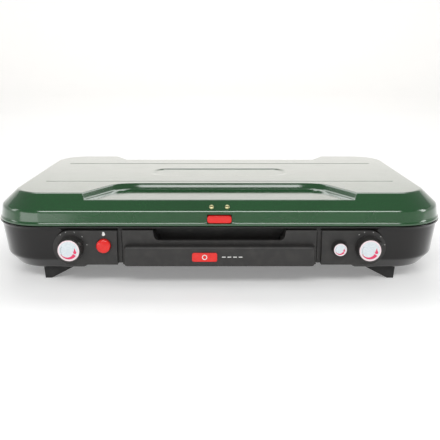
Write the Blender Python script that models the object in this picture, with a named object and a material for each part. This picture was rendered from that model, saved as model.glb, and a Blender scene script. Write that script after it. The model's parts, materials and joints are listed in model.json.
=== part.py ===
"""Three-burner tabletop camping stove with a hinged lid, modelled closed.

Metres, +X to the right, -Y to the front, +Z up. The origin lies on the table under the middle of the
stove's box. "Seam" is the level where the lid meets the base, and a "reach" is measured back (+Y) from
the front of the lid's hem.
"""

import math

import bmesh
import bpy
from mathutils import Vector

# Driving sizes ------------------------------------------------------------------------------------
CASE_WIDTH = 0.710
CASE_DEPTH = 0.425
CORNER_RADIUS = 0.082
LID_HEIGHT = 0.0457
PAN_HEIGHT = 0.0735
FOOT_HEIGHT = 0.0210
SHEET = 0.0012
KNOB_PROUD = 0.0200
HINGE_PROUD = 0.0090

# Clearances
GAP = 0.0003
SEAM_GAP = 0.0006
SLIDE_GAP = 0.0005
KNUCKLE_GAP = 0.0004
STEM_CLEARANCE = 0.0020
WALL_HOLE_EXTRA = 0.0010
TUBE_CLEARANCE = 0.0012

# Lid
HEM_BEAD = 0.0010
RIDGE_HEIGHT = 0.0225
RIDGE_INSET = 0.0040
TOP_INSET = 0.0295
PRESS_BEND = 0.0035
SCALLOP_DROP = 0.0087
SCALLOP_REACH = 0.1064
SCALLOP_EDGE = 0.1848
SCALLOP_RAKE = 0.57
SCALLOP_LEAN = 0.0050
SCALLOP_BEND = 0.0220
GROOVE_EDGE = 0.0620
GROOVE_FROM_SCALLOP = 0.0171
GROOVE_WIDTH = 0.0036
GROOVE_DEPTH = 0.0014
PLATE_EDGE = 0.2370
PLATE_HALF_Y = 0.0350
PLATE_DEPTH = 0.0013

# Base pan
FLANGE_PROUD = 0.0010
FLANGE_HEIGHT = 0.0030
LIP_INSET = 0.0040
LIP_HEIGHT = 0.0022
WALL_INSET = 0.0018
WALL_DRAFT = 0.0060
CHAMFER_HEIGHT = 0.0190
FLOOR_INSET = 0.0240
PAN_BEND = 0.0040
LEDGE_INSET = 0.0110
REBATE_DROP = 0.0020
LEDGE_SHEET = 0.0015
RAISED_RISE = 0.0110
RAISED_EDGE = 0.0290
RAISED_SLANT = 0.0130

# Front mouldings
PANEL_REACH = -0.0040
PANEL_TOP = -0.0057
PANEL_ABOVE_FLOOR = 0.0135
PANEL_STEP = 0.0060
PANEL_FLANGE = 0.0065
PANEL_BACK = 0.0095
PANEL_INNER_EDGE = 0.0775
PANEL_BEVEL = 0.0012
HANDLE_FACE = -0.0020
HANDLE_GAP = 0.0010
BAR_REACH = -0.0150
BAR_INSET = 0.0035
BAR_TOP = -0.0280
BAR_CORNER = 0.0050
POCKET_INSET = 0.0415
POCKET_SPLAY = 0.0100
POCKET_SILL = -0.0215
POCKET_REACH = 0.0300
POCKET_ABOVE_FLOOR = 0.0200
GRIP_REACH = 0.0030
MOULDING_WALL = 0.0024
BADGE_SIZE = (0.0380, 0.0140)
BADGE_X = -0.0224
BADGE_CORNER = 0.0030
BADGE_THICK = 0.0012

# Controls
CONTROL_DROP = 0.0327
KNOB_EDGE = 0.0460
SMALL_KNOB_PITCH = 0.0440
KNOB_RADIUS = 0.0195
SMALL_KNOB_RADIUS = 0.0118
SMALL_KNOB_PROUD = 0.0150
DIAL_RIM = 0.0032
SMALL_DIAL_RIM = 0.0021
DIAL_THICK = 0.0008
TAB_ANGLE = 32
STEM_RADIUS = 0.0030
STEM_DEPTH = 0.0050
VALVE_HALF = 0.0080
VALVE_REACH = (0.0105, 0.0360)
VALVE_BORE = 0.0090
JET_LENGTH = 0.0070
IGNITER_PITCH = 0.0505
IGNITER_DROP = 0.0290
IGNITER_RADIUS = 0.0112
IGNITER_PROUD = 0.0125
IGNITER_TRAVEL = 0.0050
PLUNGER_RADIUS = 0.0032
PLUNGER_LENGTH = 0.0130
IGNITER_SKIRT = 0.0030
IGNITER_BODY_RADIUS = 0.0080
IGNITER_BODY_LENGTH = 0.0300

# Gas train and spark leads
MANIFOLD_RADIUS = 0.0045
MANIFOLD_REACH = 0.0420
MANIFOLD_ABOVE_FLOOR = 0.0215
TUBE_RADIUS = 0.0060
TUBE_ABOVE_FLOOR = 0.0225
INLET_REACH = 0.1900
INLET_DROP = 0.0400
INLET_RADIUS = 0.0110
INLET_PORT_RADIUS = 0.0150
LEAD_RADIUS = 0.0012
LEAD_PITCH = 0.0045
LANE_PITCH = 0.0060

# Cooktop, burners and grates
WELL_SIDE = 0.0340
WELL_FRONT = 0.0720
WELL_BACK = 0.0300
WELL_RADIUS = 0.0450
WELL_BEND = 0.0060
WELL_ABOVE_FLOOR = 0.0355
WELL_SLOPE = 0.0050
BURNER_EDGE = 0.1650
BURNER_RADIUS = 0.0500
SMALL_BURNER_RADIUS = 0.0270
BURNER_LIP = 0.0080
BURNER_HEIGHT = 0.0138
BURNER_LIFT = 0.0040
CAP_HEIGHT = 0.0039
NECK_RADIUS = 0.0230
SMALL_NECK_RADIUS = 0.0150
SPARK_OFFSET = 0.0060
INSULATOR_RADIUS = 0.0050
INSULATOR_SHANK = 0.0030
ROD_RADIUS = 0.0025
GRATE_OVERHANG = 0.0075
GRATE_EDGE = 0.0045
GRATE_PITCH = 0.0290
GRATE_SHARE = 0.4
RAIL_EDGE = 0.0465

# Hinges, latch and feet
HINGE_EDGE = 0.1250
HINGE_HALF = 0.0200
HINGE_LEAF_TOP = 0.0195
HINGE_LEAF_BOTTOM = -0.0270
HINGE_CLEAR = 0.0045
KNUCKLE_RADIUS = 0.0035
KNUCKLE_HALF = 0.0080
PIN_RADIUS = 0.0016
PIN_PROUD = 0.0010
LEAF_SHEET = 0.0014
LATCH_HALF = 0.0183
LATCH_TOP = 0.0172
LATCH_BOTTOM = 0.0048
LATCH_PROUD = 0.0036
LATCH_CORNER = 0.0028
LATCH_TRAVEL = 0.0035
TONGUE_HALF = 0.0140
TONGUE_REACH = 0.0075
HOOK_REACH = 0.0040
HOOK_GRIP = 0.0016
BRACKET_SHEET = 0.0015
SCREW_X = 0.0120
SCREW_ABOVE_RIDGE = 0.0053
SCREW_HEAD = 0.0037
SCREW_SHANK = 0.0016
FOOT_EDGE = 0.0740
FOOT_WIDTH = 0.0510
FOOT_LENGTH = 0.0400
FOOT_REACH = 0.0330

# Derived places -----------------------------------------------------------------------------------
SEAM_Z = PAN_HEIGHT + FOOT_HEIGHT
FRONT_Y = KNOB_PROUD - (KNOB_PROUD + CASE_DEPTH + HINGE_PROUD) / 2
BACK_Y = FRONT_Y + CASE_DEPTH
MIDDLE_Y = (FRONT_Y + BACK_Y) / 2
TOP_Z = SEAM_Z + LID_HEIGHT
HALF_WIDTH = CASE_WIDTH / 2

SCALLOP_HALF = HALF_WIDTH - SCALLOP_EDGE
GROOVE_HALF = HALF_WIDTH - GROOVE_EDGE
GROOVE_OFFSET = CASE_DEPTH / 2 - SCALLOP_REACH - GROOVE_FROM_SCALLOP
PLATE_HALF_X = HALF_WIDTH - PLATE_EDGE
LEAN = RIDGE_INSET / RIDGE_HEIGHT
SLOPE_RUN = TOP_INSET - RIDGE_INSET
SLOPE_RISE = LID_HEIGHT - RIDGE_HEIGHT
SLOPE_NORMAL = Vector((0.0, -SLOPE_RISE, SLOPE_RUN)).normalized()
SCREW_RISE = RIDGE_HEIGHT + SCREW_ABOVE_RIDGE
SCREW_INSET = RIDGE_INSET + SCREW_ABOVE_RIDGE * SLOPE_RUN / SLOPE_RISE

WALL_HEIGHT = PAN_HEIGHT - CHAMFER_HEIGHT
REBATE_INSET = LIP_INSET + SHEET
FOOT_OUTER = HALF_WIDTH - FOOT_EDGE
FOOT_INNER = FOOT_OUTER - FOOT_WIDTH
RAISED_HALF = FOOT_INNER - RAISED_EDGE
RAISED_DROP = PAN_HEIGHT - RAISED_RISE

KNOB_X = HALF_WIDTH - CORNER_RADIUS - KNOB_EDGE
SMALL_KNOB_X = KNOB_X - SMALL_KNOB_PITCH
IGNITER_X = IGNITER_PITCH - KNOB_X
CONTROL_Z = SEAM_Z - CONTROL_DROP
IGNITER_Z = SEAM_Z - IGNITER_DROP
DIAL_RADIUS = KNOB_RADIUS - DIAL_RIM
SMALL_DIAL_RADIUS = SMALL_KNOB_RADIUS - SMALL_DIAL_RIM
PANEL_BOTTOM = PANEL_ABOVE_FLOOR - PAN_HEIGHT
PANEL_INNER_X = KNOB_X - PANEL_INNER_EDGE
PANEL_STEP_X = PANEL_INNER_X + PANEL_FLANGE
HANDLE_HALF = PANEL_INNER_X - HANDLE_GAP
BAR_HALF = HANDLE_HALF - BAR_INSET
POCKET_HALF = BAR_HALF - POCKET_INSET
POCKET_FLOOR = POCKET_ABOVE_FLOOR - PAN_HEIGHT

MANIFOLD_Z = SEAM_Z - PAN_HEIGHT + MANIFOLD_ABOVE_FLOOR
TUBE_Z = SEAM_Z - PAN_HEIGHT + TUBE_ABOVE_FLOOR
INLET_Y = FRONT_Y + INLET_REACH
INLET_Z = SEAM_Z - INLET_DROP
WELL_DROP = PAN_HEIGHT - WELL_ABOVE_FLOOR
WELL_FLOOR_Z = SEAM_Z - WELL_DROP
WELL_HALF_X = HALF_WIDTH - WELL_SIDE
WELL_HALF_Y = (CASE_DEPTH - WELL_FRONT - WELL_BACK) / 2
RIM_TOP_Z = SEAM_Z - REBATE_DROP + GAP + SHEET
BURNER_X = HALF_WIDTH - BURNER_EDGE
BURNER_Y = FRONT_Y + WELL_FRONT + WELL_HALF_Y
BURNER_HEAD_Z = WELL_FLOOR_Z + BURNER_LIFT
BURNER_TOP_Z = WELL_FLOOR_Z + BURNER_HEIGHT
ELECTRODE_BASE_Z = WELL_FLOOR_Z - SHEET - 0.0022
GRATE_SPLIT = BURNER_X * GRATE_SHARE
RAIL_OFFSET = WELL_HALF_Y - RAIL_EDGE
HINGE_X = HALF_WIDTH - HINGE_EDGE
HINGE_AXIS_Y = BACK_Y + HINGE_PROUD - KNUCKLE_RADIUS

CORNER_STEPS = 6
FAR = 0.05


def clear_scene():
    for obj in list(bpy.data.objects):
        bpy.data.objects.remove(obj, do_unlink=True)


def finish(name, colour, roughness, metallic=0.0):
    """A Principled material with one base colour."""
    material = bpy.data.materials.new(name)
    material.use_nodes = True
    shader = material.node_tree.nodes["Principled BSDF"]
    shader.inputs["Base Color"].default_value = (*colour, 1.0)
    shader.inputs["Roughness"].default_value = roughness
    shader.inputs["Metallic"].default_value = metallic
    return material


# Modelling tools ----------------------------------------------------------------------------------
def add_object(name, bm, material=None):
    bmesh.ops.recalc_face_normals(bm, faces=bm.faces)
    mesh = bpy.data.meshes.new(name)
    bm.to_mesh(mesh)
    bm.free()
    obj = bpy.data.objects.new(name, mesh)
    bpy.context.scene.collection.objects.link(obj)
    if material:
        mesh.materials.append(material)
    return obj


def loft(name, rings, material=None):
    """Closed solid through rings with the same number of points, capped at both ends."""
    bm = bmesh.new()
    rows = [[bm.verts.new(point) for point in ring] for ring in rings]
    for row, following in zip(rows, rows[1:]):
        for i in range(len(row)):
            j = (i + 1) % len(row)
            bm.faces.new((row[i], row[j], following[j], following[i]))
    bm.faces.new(rows[0])
    bm.faces.new(rows[-1])
    return add_object(name, bm, material)


def prism(name, outline, axis, start, end, material=None):
    """A flat outline pushed along one axis. The outline's pairs are the two other coordinates in order."""
    slot = "XYZ".index(axis)

    def place(pair, along):
        point = list(pair)
        point.insert(slot, along)
        return Vector(point)

    return loft(name, [[place(pair, along) for pair in outline] for along in (start, end)], material)


def yz_prism(name, outline, start, end, material=None):
    """Prism along X whose outline is given as (reach behind the front hem, height above the seam)."""
    placed = [(FRONT_Y + reach, SEAM_Z + height) for reach, height in outline]
    return prism(name, placed, "X", start, end, material)


def block(name, low, high, material=None):
    outline = [(low[0], low[1]), (high[0], low[1]), (high[0], high[1]), (low[0], high[1])]
    return prism(name, outline, "Z", low[2], high[2], material)


def turned(name, profile, base, direction, sides=24, material=None):
    """Solid turned about a line from base along direction. The profile's pairs are (radius, along)."""
    direction = Vector(direction).normalized()
    side = direction.orthogonal().normalized()
    across = direction.cross(side)
    rings = []
    for radius, along in profile:
        centre = Vector(base) + direction * along
        angles = [2 * math.pi * (k + 0.5) / sides for k in range(sides)]
        rings.append([centre + radius * (math.cos(a) * side + math.sin(a) * across) for a in angles])
    return loft(name, rings, material)


def rod(name, start, end, radius, sides=12, material=None):
    run = Vector(end) - Vector(start)
    return turned(name, [(radius, 0), (radius, run.length)], start, run, sides, material)


def pipe(name, points, radius, material, resolution=1, bend=0.012):
    """Pipe or wire of straight runs with a bend at each inner point."""
    curve = bpy.data.curves.new(name, "CURVE")
    curve.dimensions = "3D"
    curve.bevel_depth = radius
    curve.bevel_resolution = resolution
    curve.use_fill_caps = True
    path = soften(points, bend, 3)
    spline = curve.splines.new("POLY")
    spline.points.add(len(path) - 1)
    for target, point in zip(spline.points, path):
        target.co = (*point, 1.0)
    obj = bpy.data.objects.new(name, curve)
    bpy.context.scene.collection.objects.link(obj)
    curve.materials.append(material)
    return obj


def combine(target, tools, operation):
    """Boolean of the target with each tool in turn. The tools are used up."""
    for tool in tools:
        modifier = target.modifiers.new(operation, "BOOLEAN")
        modifier.operation = operation
        modifier.object = tool
        bpy.context.view_layer.update()
        shaped = target.evaluated_get(bpy.context.evaluated_depsgraph_get())
        mesh = bpy.data.meshes.new_from_object(shaped)
        target.modifiers.clear()
        target.data = mesh
        bpy.data.objects.remove(tool, do_unlink=True)
    return target


def cut(target, *tools):
    return combine(target, tools, "DIFFERENCE")


def join(target, *tools):
    return combine(target, tools, "UNION")


def smooth(obj, degrees=35):
    obj.data.shade_smooth()
    obj.data.set_sharp_from_angle(angle=math.radians(degrees))
    return obj


def soften(points, reach, steps=3):
    """A line through the points with each inner corner rounded from reach before it to reach after it."""
    points = [Vector(p) for p in points]
    line = [points[0]]
    for before, corner, after in zip(points, points[1:], points[2:]):
        near = corner + (before - corner).normalized() * min(reach, (before - corner).length * 0.45)
        far = corner + (after - corner).normalized() * min(reach, (after - corner).length * 0.45)
        for k in range(steps + 1):
            t = k / steps
            line.append((1 - t) ** 2 * near + 2 * t * (1 - t) * corner + t**2 * far)
    return [*line, points[-1]]


def shifted(points, distance):
    """The line moved sideways, to the right of its direction, by distance."""
    points = [Vector(p) for p in points]
    normals = []
    for a, b in zip(points, points[1:]):
        run = (b - a).normalized()
        normals.append(Vector((run.y, -run.x)))
    moved = [points[0] + normals[0] * distance]
    for before, after, point in zip(normals, normals[1:], points[1:]):
        bisector = (before + after).normalized()
        moved.append(point + bisector * (distance / bisector.dot(before)))
    return [*moved, points[-1] + normals[-1] * distance]


def rounded_rectangle(half_x, half_y, radius, middle=(0.0, 0.0), steps=CORNER_STEPS):
    corners = []
    for quarter, (sx, sy) in enumerate([(1, -1), (1, 1), (-1, 1), (-1, -1)]):
        for k in range(steps + 1):
            angle = math.pi / 2 * (quarter - 1 + k / steps)
            x = middle[0] + sx * (half_x - radius) + radius * math.cos(angle)
            y = middle[1] + sy * (half_y - radius) + radius * math.sin(angle)
            corners.append((x, y))
    return corners


def case_ring(inset, height):
    """The case's outline moved in by inset, at a height above the seam."""
    half_y = CASE_DEPTH / 2 - inset
    outline = rounded_rectangle(HALF_WIDTH - inset, half_y, CORNER_RADIUS - inset, (0.0, MIDDLE_Y))
    return [Vector((x, y, SEAM_Z + height)) for x, y in outline]


# Lid ----------------------------------------------------------------------------------------------
def scallop(facing, grow):
    """Cutter for the stepped-down scallop at the front (facing -1) or back (facing 1) of the lid's top."""
    above = 0.004
    outside = 0.02
    rings = []
    for rise, widen in ((-SCALLOP_DROP, -SCALLOP_LEAN), (above, SCALLOP_LEAN * above / SCALLOP_DROP)):
        reach = SCALLOP_REACH + grow + widen
        half = SCALLOP_HALF + grow + widen * 0.8
        mouth = half + SCALLOP_RAKE * (reach + outside)
        edge = [(mouth, -outside), (half, reach), (-half, reach), (-mouth, -outside)]
        start = MIDDLE_Y + facing * CASE_DEPTH / 2
        line = [(x, start - facing * depth) for x, depth in soften(edge, SCALLOP_BEND, 4)]
        rings.append([Vector((x, y, TOP_Z + rise - grow)) for x, y in line])
    return loft("scallop_cutter", rings)


def top_features(solid, grow):
    """Presses the scallops, the two long grooves and the middle panel into a lid form."""
    cutters = [scallop(-1, grow), scallop(1, grow)]
    top = TOP_Z + 0.01
    bottom = TOP_Z - GROOVE_DEPTH - grow
    half = GROOVE_WIDTH / 2 + grow
    for offset in (-GROOVE_OFFSET, GROOVE_OFFSET):
        y = MIDDLE_Y + offset
        outline = [(y - half * 0.5, bottom), (y + half * 0.5, bottom), (y + half * 2, top), (y - half * 2, top)]
        cutters.append(prism("groove_cutter", outline, "X", -GROOVE_HALF - grow, GROOVE_HALF + grow))
    half_x, half_y = PLATE_HALF_X + grow, PLATE_HALF_Y + grow
    outline = rounded_rectangle(half_x, half_y, PLATE_HALF_Y * 0.7, (0.0, MIDDLE_Y), 4)
    cutters.append(prism("plate_cutter", outline, "Z", TOP_Z - PLATE_DEPTH - grow, top))
    return cut(solid, *cutters)


def lid_shell(material):
    """Pressed steel lid with a rolled hem, open underneath."""
    shoulder = [(RIDGE_INSET, RIDGE_HEIGHT), (TOP_INSET, LID_HEIGHT), (TOP_INSET + FAR, LID_HEIGHT)]
    bead = [(HEM_BEAD * 0.6, GAP), (0.0, HEM_BEAD), (0.0, 2.8 * HEM_BEAD), (1.3 * HEM_BEAD, 3.8 * HEM_BEAD)]
    skin = soften([bead[-1], *shoulder], PRESS_BEND)
    outer = loft("lid_shell", [case_ring(*p) for p in [*bead, *skin[1:]]], material)
    inner_skin = shifted([(HEM_BEAD, -0.01), *shoulder], SHEET)
    inner = loft("lid_inside", [case_ring(*p) for p in soften(inner_skin, PRESS_BEND, 2)])
    lid = cut(top_features(outer, 0.0), top_features(inner, SHEET))
    half = LATCH_HALF + SLIDE_GAP
    low = (-half, FRONT_Y - 0.01, SEAM_Z + LATCH_BOTTOM - SLIDE_GAP)
    window = block("window", low, (half, FRONT_Y + 0.012, SEAM_Z + LATCH_TOP + SLIDE_GAP))
    return smooth(cut(lid, window, *screw_holes(-FAR / 4, FAR / 4)))


# Latch --------------------------------------------------------------------------------------------
def on_slope(x):
    """The latch screws' places on the outer face of the lid's front slope."""
    return Vector((x, FRONT_Y + SCREW_INSET, SEAM_Z + SCREW_RISE))


def screw_rod(x, radius, below, above):
    spot = on_slope(x)
    return rod("screw_rod", spot + SLOPE_NORMAL * below, spot + SLOPE_NORMAL * above, radius)


def screw_holes(below, above):
    return [screw_rod(x, SCREW_SHANK + GAP, below, above) for x in (-SCREW_X, SCREW_X)]


def latch_screw(name, x, material):
    """Pan-head screw through the lid's slope into the latch bracket."""
    head = [(1.0, GAP), (1.0, GAP + 0.0006), (0.75, 0.0018), (0.3, 0.0023)]
    head = [(SCREW_HEAD * share, along) for share, along in head]
    screw = turned(name, head, on_slope(x), SLOPE_NORMAL, 16, material)
    shank = screw_rod(x, SCREW_SHANK, -SHEET - BRACKET_SHEET - 2 * GAP - 0.0012, GAP + 0.0004)
    return smooth(join(screw, shank))


def latch_bracket(material):
    """Folded steel bracket behind the slope, held by the two screws. The latch is pushed back against it."""
    slope = [(RIDGE_INSET, RIDGE_HEIGHT), (TOP_INSET, LID_HEIGHT)]
    low, high = shifted(slope, SHEET + GAP)
    run = (high - low).normalized()
    inward = Vector((run.y, -run.x)) * BRACKET_SHEET
    start = low + run * 0.0045
    end = low + run * 0.0150
    strip = [start, end, end + inward, start + inward]
    front = TONGUE_REACH + LEAF_SHEET + LATCH_TRAVEL + 3 * GAP
    back = front + BRACKET_SHEET
    top = end.y - 2 * BRACKET_SHEET
    wall = [(front, LATCH_BOTTOM), (back, LATCH_BOTTOM), (back, top), (front, top)]
    bracket = yz_prism("latch_bracket", strip, -LATCH_HALF, LATCH_HALF, material)
    join(bracket, yz_prism("bracket_wall", wall, -LATCH_HALF, LATCH_HALF))
    return cut(bracket, *screw_holes(-0.012, 0.0))


def latch_tongue(material):
    """Steel tongue behind the button. Its hook catches under the front lip of the base."""
    hook_top = -REBATE_DROP - LEDGE_SHEET - 2 * GAP
    top = LATCH_TOP + 0.0023
    back = TONGUE_REACH + LEAF_SHEET
    outline = [
        (TONGUE_REACH, top),
        (back, top),
        (back, hook_top - LEAF_SHEET),
        (HOOK_REACH, hook_top - LEAF_SHEET),
        (HOOK_REACH, hook_top),
        (TONGUE_REACH, hook_top),
    ]
    return yz_prism("latch_tongue", outline, -TONGUE_HALF, TONGUE_HALF, material)


def latch_button(material):
    """Moulded push button that stands proud of the lid's front face."""
    half_z = (LATCH_TOP - LATCH_BOTTOM) / 2
    middle = (0.0, SEAM_Z + (LATCH_TOP + LATCH_BOTTOM) / 2)
    front = FRONT_Y + LEAN * (LATCH_TOP + LATCH_BOTTOM) / 2 - LATCH_PROUD
    rings = []
    for y, shrink in ((front, 0.0014), (front + 0.0012, 0.0), (FRONT_Y + TONGUE_REACH - GAP, 0.0)):
        outline = rounded_rectangle(LATCH_HALF - shrink, half_z - shrink, LATCH_CORNER - shrink, middle, 3)
        rings.append([Vector((x, y, z)) for x, z in outline])
    return smooth(loft("latch_button", rings, material))


# Base pan -----------------------------------------------------------------------------------------
def pan_skin():
    """(inset, height) down the outside of the wall and under the floor."""
    wall_foot = WALL_INSET + WALL_DRAFT
    return [
        (WALL_INSET, -FLANGE_HEIGHT - 0.0008),
        (wall_foot, -WALL_HEIGHT),
        (FLOOR_INSET, -PAN_HEIGHT),
        (FLOOR_INSET + 0.05, -PAN_HEIGHT),
    ]


def wall_reach(height):
    """How far the pan's front wall lies behind the hem at a height below the seam."""
    return WALL_INSET - WALL_DRAFT * (height + FLANGE_HEIGHT) / (WALL_HEIGHT - FLANGE_HEIGHT)


def raised_floor_cutter(grow):
    """Takes the middle of the pan's floor up between the two end wells."""
    low = SEAM_Z - PAN_HEIGHT - FAR
    run = RAISED_SLANT * (PAN_HEIGHT + FAR - RAISED_DROP) / (PAN_HEIGHT - RAISED_DROP)
    top = SEAM_Z - RAISED_DROP + grow
    half = RAISED_HALF + grow * 0.4
    outline = [(-half - run, low), (half + run, low), (half, top), (-half, top)]
    return prism("floor_cutter", outline, "Y", FRONT_Y - FAR, BACK_Y + FAR)


def base_pan(material):
    """Pressed steel pan. Its rim has a lip inside the lid's hem and a ledge that carries the cooktop."""
    outer_line = [
        (REBATE_INSET + 0.001, LIP_HEIGHT),
        (LIP_INSET, LIP_HEIGHT),
        (LIP_INSET, -SEAM_GAP),
        (-FLANGE_PROUD, -SEAM_GAP),
        (-FLANGE_PROUD, -FLANGE_HEIGHT),
        *soften(pan_skin(), PAN_BEND),
    ]
    pan = loft("base_pan", [case_ring(*p) for p in outer_line], material)
    ledge_under = -REBATE_DROP - LEDGE_SHEET
    inside = shifted(pan_skin(), -SHEET)
    inside[0].y = ledge_under
    throat = [(REBATE_INSET, 0.01), (REBATE_INSET, -REBATE_DROP)]
    throat += [(LEDGE_INSET, -REBATE_DROP), (LEDGE_INSET, ledge_under)]
    hollow = loft("pan_inside", [case_ring(*p) for p in [*throat, *soften(inside, PAN_BEND, 2)]])
    cut(pan, raised_floor_cutter(0.0))
    cut(hollow, raised_floor_cutter(SHEET))
    cut(pan, hollow)

    half = TONGUE_HALF + SLIDE_GAP
    low = (-half, FRONT_Y + HOOK_REACH + HOOK_GRIP, SEAM_Z + ledge_under - 0.001)
    slot = block("latch_slot", low, (half, FRONT_Y + LEDGE_INSET + 0.002, SEAM_Z + 0.001))
    half = POCKET_HALF + MOULDING_WALL + 2 * GAP
    low = (-half, FRONT_Y - 0.01, SEAM_Z + POCKET_FLOOR - MOULDING_WALL - 2 * GAP)
    pocket = block("pocket_opening", low, (half, FRONT_Y + 0.015, SEAM_Z + ledge_under - 2 * GAP))
    stem_hole = STEM_RADIUS + STEM_CLEARANCE + WALL_HOLE_EXTRA
    holes = [control_hole(x, CONTROL_Z, stem_hole) for x, _ in control_spots()]
    holes.append(control_hole(IGNITER_X, IGNITER_Z, IGNITER_RADIUS + WALL_HOLE_EXTRA))
    port_start = (HALF_WIDTH - FAR, INLET_Y, INLET_Z)
    port = rod("port", port_start, (HALF_WIDTH + FAR, INLET_Y, INLET_Z), INLET_PORT_RADIUS, 20)
    return smooth(cut(pan, slot, pocket, port, *holes))


def control_spots():
    """(x, name) of the three gas controls."""
    return [(-KNOB_X, "left"), (SMALL_KNOB_X, "centre"), (KNOB_X, "right")]


def control_hole(x, z, radius):
    return rod("control_hole", (x, FRONT_Y - 0.03, z), (x, FRONT_Y + 0.02, z), radius, 16)


def foot(name, side, reach, material):
    """Wedge foot with its tall edge outwards and a small flat tread."""
    top = SEAM_Z - PAN_HEIGHT - GAP
    profile = [
        (FOOT_INNER, top),
        (FOOT_INNER + 0.0005, top - 0.0030),
        (FOOT_OUTER - 0.0125, 0.0004),
        (FOOT_OUTER - 0.0105, 0.0),
        (FOOT_OUTER - 0.0035, 0.0),
        (FOOT_OUTER - 0.0015, 0.0020),
        (FOOT_OUTER, top),
    ]
    outline = [(side * x, z) for x, z in profile]
    return prism(name, outline, "Y", FRONT_Y + reach, FRONT_Y + reach + FOOT_LENGTH, material)


# Front mouldings ----------------------------------------------------------------------------------
def behind_wall():
    """Everything behind the pan's front wall, for cutting a moulding's back to the wall's draft."""
    top, bottom = 0.01, -PAN_HEIGHT
    face = [(wall_reach(top) - GAP, top), (wall_reach(bottom) - GAP, bottom), (FAR, bottom), (FAR, top)]
    return yz_prism("behind_wall", face, -HALF_WIDTH, HALF_WIDTH)


def panel_outline(inner, margin):
    """Outline in x and z of a panel whose outer end is half round about its big knob."""
    top, bottom = SEAM_Z + PANEL_TOP - margin, SEAM_Z + PANEL_BOTTOM + margin
    radius = (top - bottom) / 2
    steps = 10
    arc = [math.pi / 2 - math.pi * k / steps for k in range(steps + 1)]
    end = [(KNOB_X + radius * math.cos(a), (top + bottom) / 2 + radius * math.sin(a)) for a in arc]
    return [(inner, top), *end, (inner, bottom)]


def control_panel(name, side, material):
    """Moulded panel for one end's controls: a raised platform on a plate that tucks beside the handle."""
    def side_outline(inner, margin):
        return [(side * x, z) for x, z in panel_outline(inner, margin)]

    back = FRONT_Y + PANEL_BACK
    front = FRONT_Y + PANEL_REACH
    rings = []
    for y, margin in ((front, PANEL_BEVEL), (front + PANEL_BEVEL, 0.0), (back, 0.0)):
        rings.append([Vector((x, y, z)) for x, z in side_outline(PANEL_STEP_X + margin, margin)])
    panel = loft(name, rings, material)
    join(panel, prism("plate", side_outline(PANEL_INNER_X, 0.0015), "Y", front + PANEL_STEP, back))
    stem_hole = STEM_RADIUS + STEM_CLEARANCE
    holes = [control_hole(x, CONTROL_Z, stem_hole) for x, _ in control_spots() if x * side > 0]
    if side < 0:
        holes.append(control_hole(IGNITER_X, IGNITER_Z, IGNITER_RADIUS))
    return smooth(cut(panel, behind_wall(), *holes))


def front_handle(material):
    """Moulding in the middle of the front: a grip bar, with a pocket behind it for the fingers."""
    top, bottom, bar_top = SEAM_Z + PANEL_TOP, SEAM_Z + PANEL_BOTTOM, SEAM_Z + BAR_TOP
    low = (-HANDLE_HALF, FRONT_Y + HANDLE_FACE, bottom)
    handle = block("front_handle", low, (HANDLE_HALF, FRONT_Y + PANEL_BACK, top), material)
    cut(handle, behind_wall())
    middle, half_z = (0.0, (bar_top + bottom) / 2), (bar_top - bottom) / 2
    rings = []
    for depth, shrink in ((0.0, 0.0040), (0.0012, 0.0018), (0.0040, 0.0), (0.0160, 0.0)):
        radius = BAR_CORNER - shrink * 0.8
        outline = rounded_rectangle(BAR_HALF - shrink * 0.5, half_z - shrink, radius, middle, 3)
        rings.append([Vector((x, FRONT_Y + BAR_REACH + depth, z)) for x, z in outline])
    outer = POCKET_HALF + MOULDING_WALL
    low = (-outer, FRONT_Y + 0.0010, SEAM_Z + POCKET_FLOOR - MOULDING_WALL)
    shell = block("shell", low, (outer, FRONT_Y + POCKET_REACH + MOULDING_WALL, top))
    join(handle, loft("bar", rings), shell)

    sill, inner = SEAM_Z + POCKET_SILL, POCKET_HALF - POCKET_SPLAY
    splay = [(-POCKET_HALF, top + 0.01), (POCKET_HALF, top + 0.01), (inner, sill), (-inner, sill)]
    mouth = prism("mouth", splay, "Y", FRONT_Y - 0.03, FRONT_Y + POCKET_REACH)
    low = (-inner, FRONT_Y + GRIP_REACH, SEAM_Z + POCKET_FLOOR)
    well = block("well", low, (inner, FRONT_Y + POCKET_REACH, sill + 0.001))
    return smooth(cut(handle, mouth, well))


def handle_badge(material):
    """Plain rounded badge on the grip bar."""
    half_x, half_z = BADGE_SIZE[0] / 2, BADGE_SIZE[1] / 2
    middle = (BADGE_X, SEAM_Z + (BAR_TOP + PANEL_BOTTOM) / 2)
    front = FRONT_Y + BAR_REACH - GAP - BADGE_THICK
    outline = rounded_rectangle(half_x, half_z, BADGE_CORNER, middle, 3)
    return prism("handle_badge", outline, "Y", front, front + BADGE_THICK, material)


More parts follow.
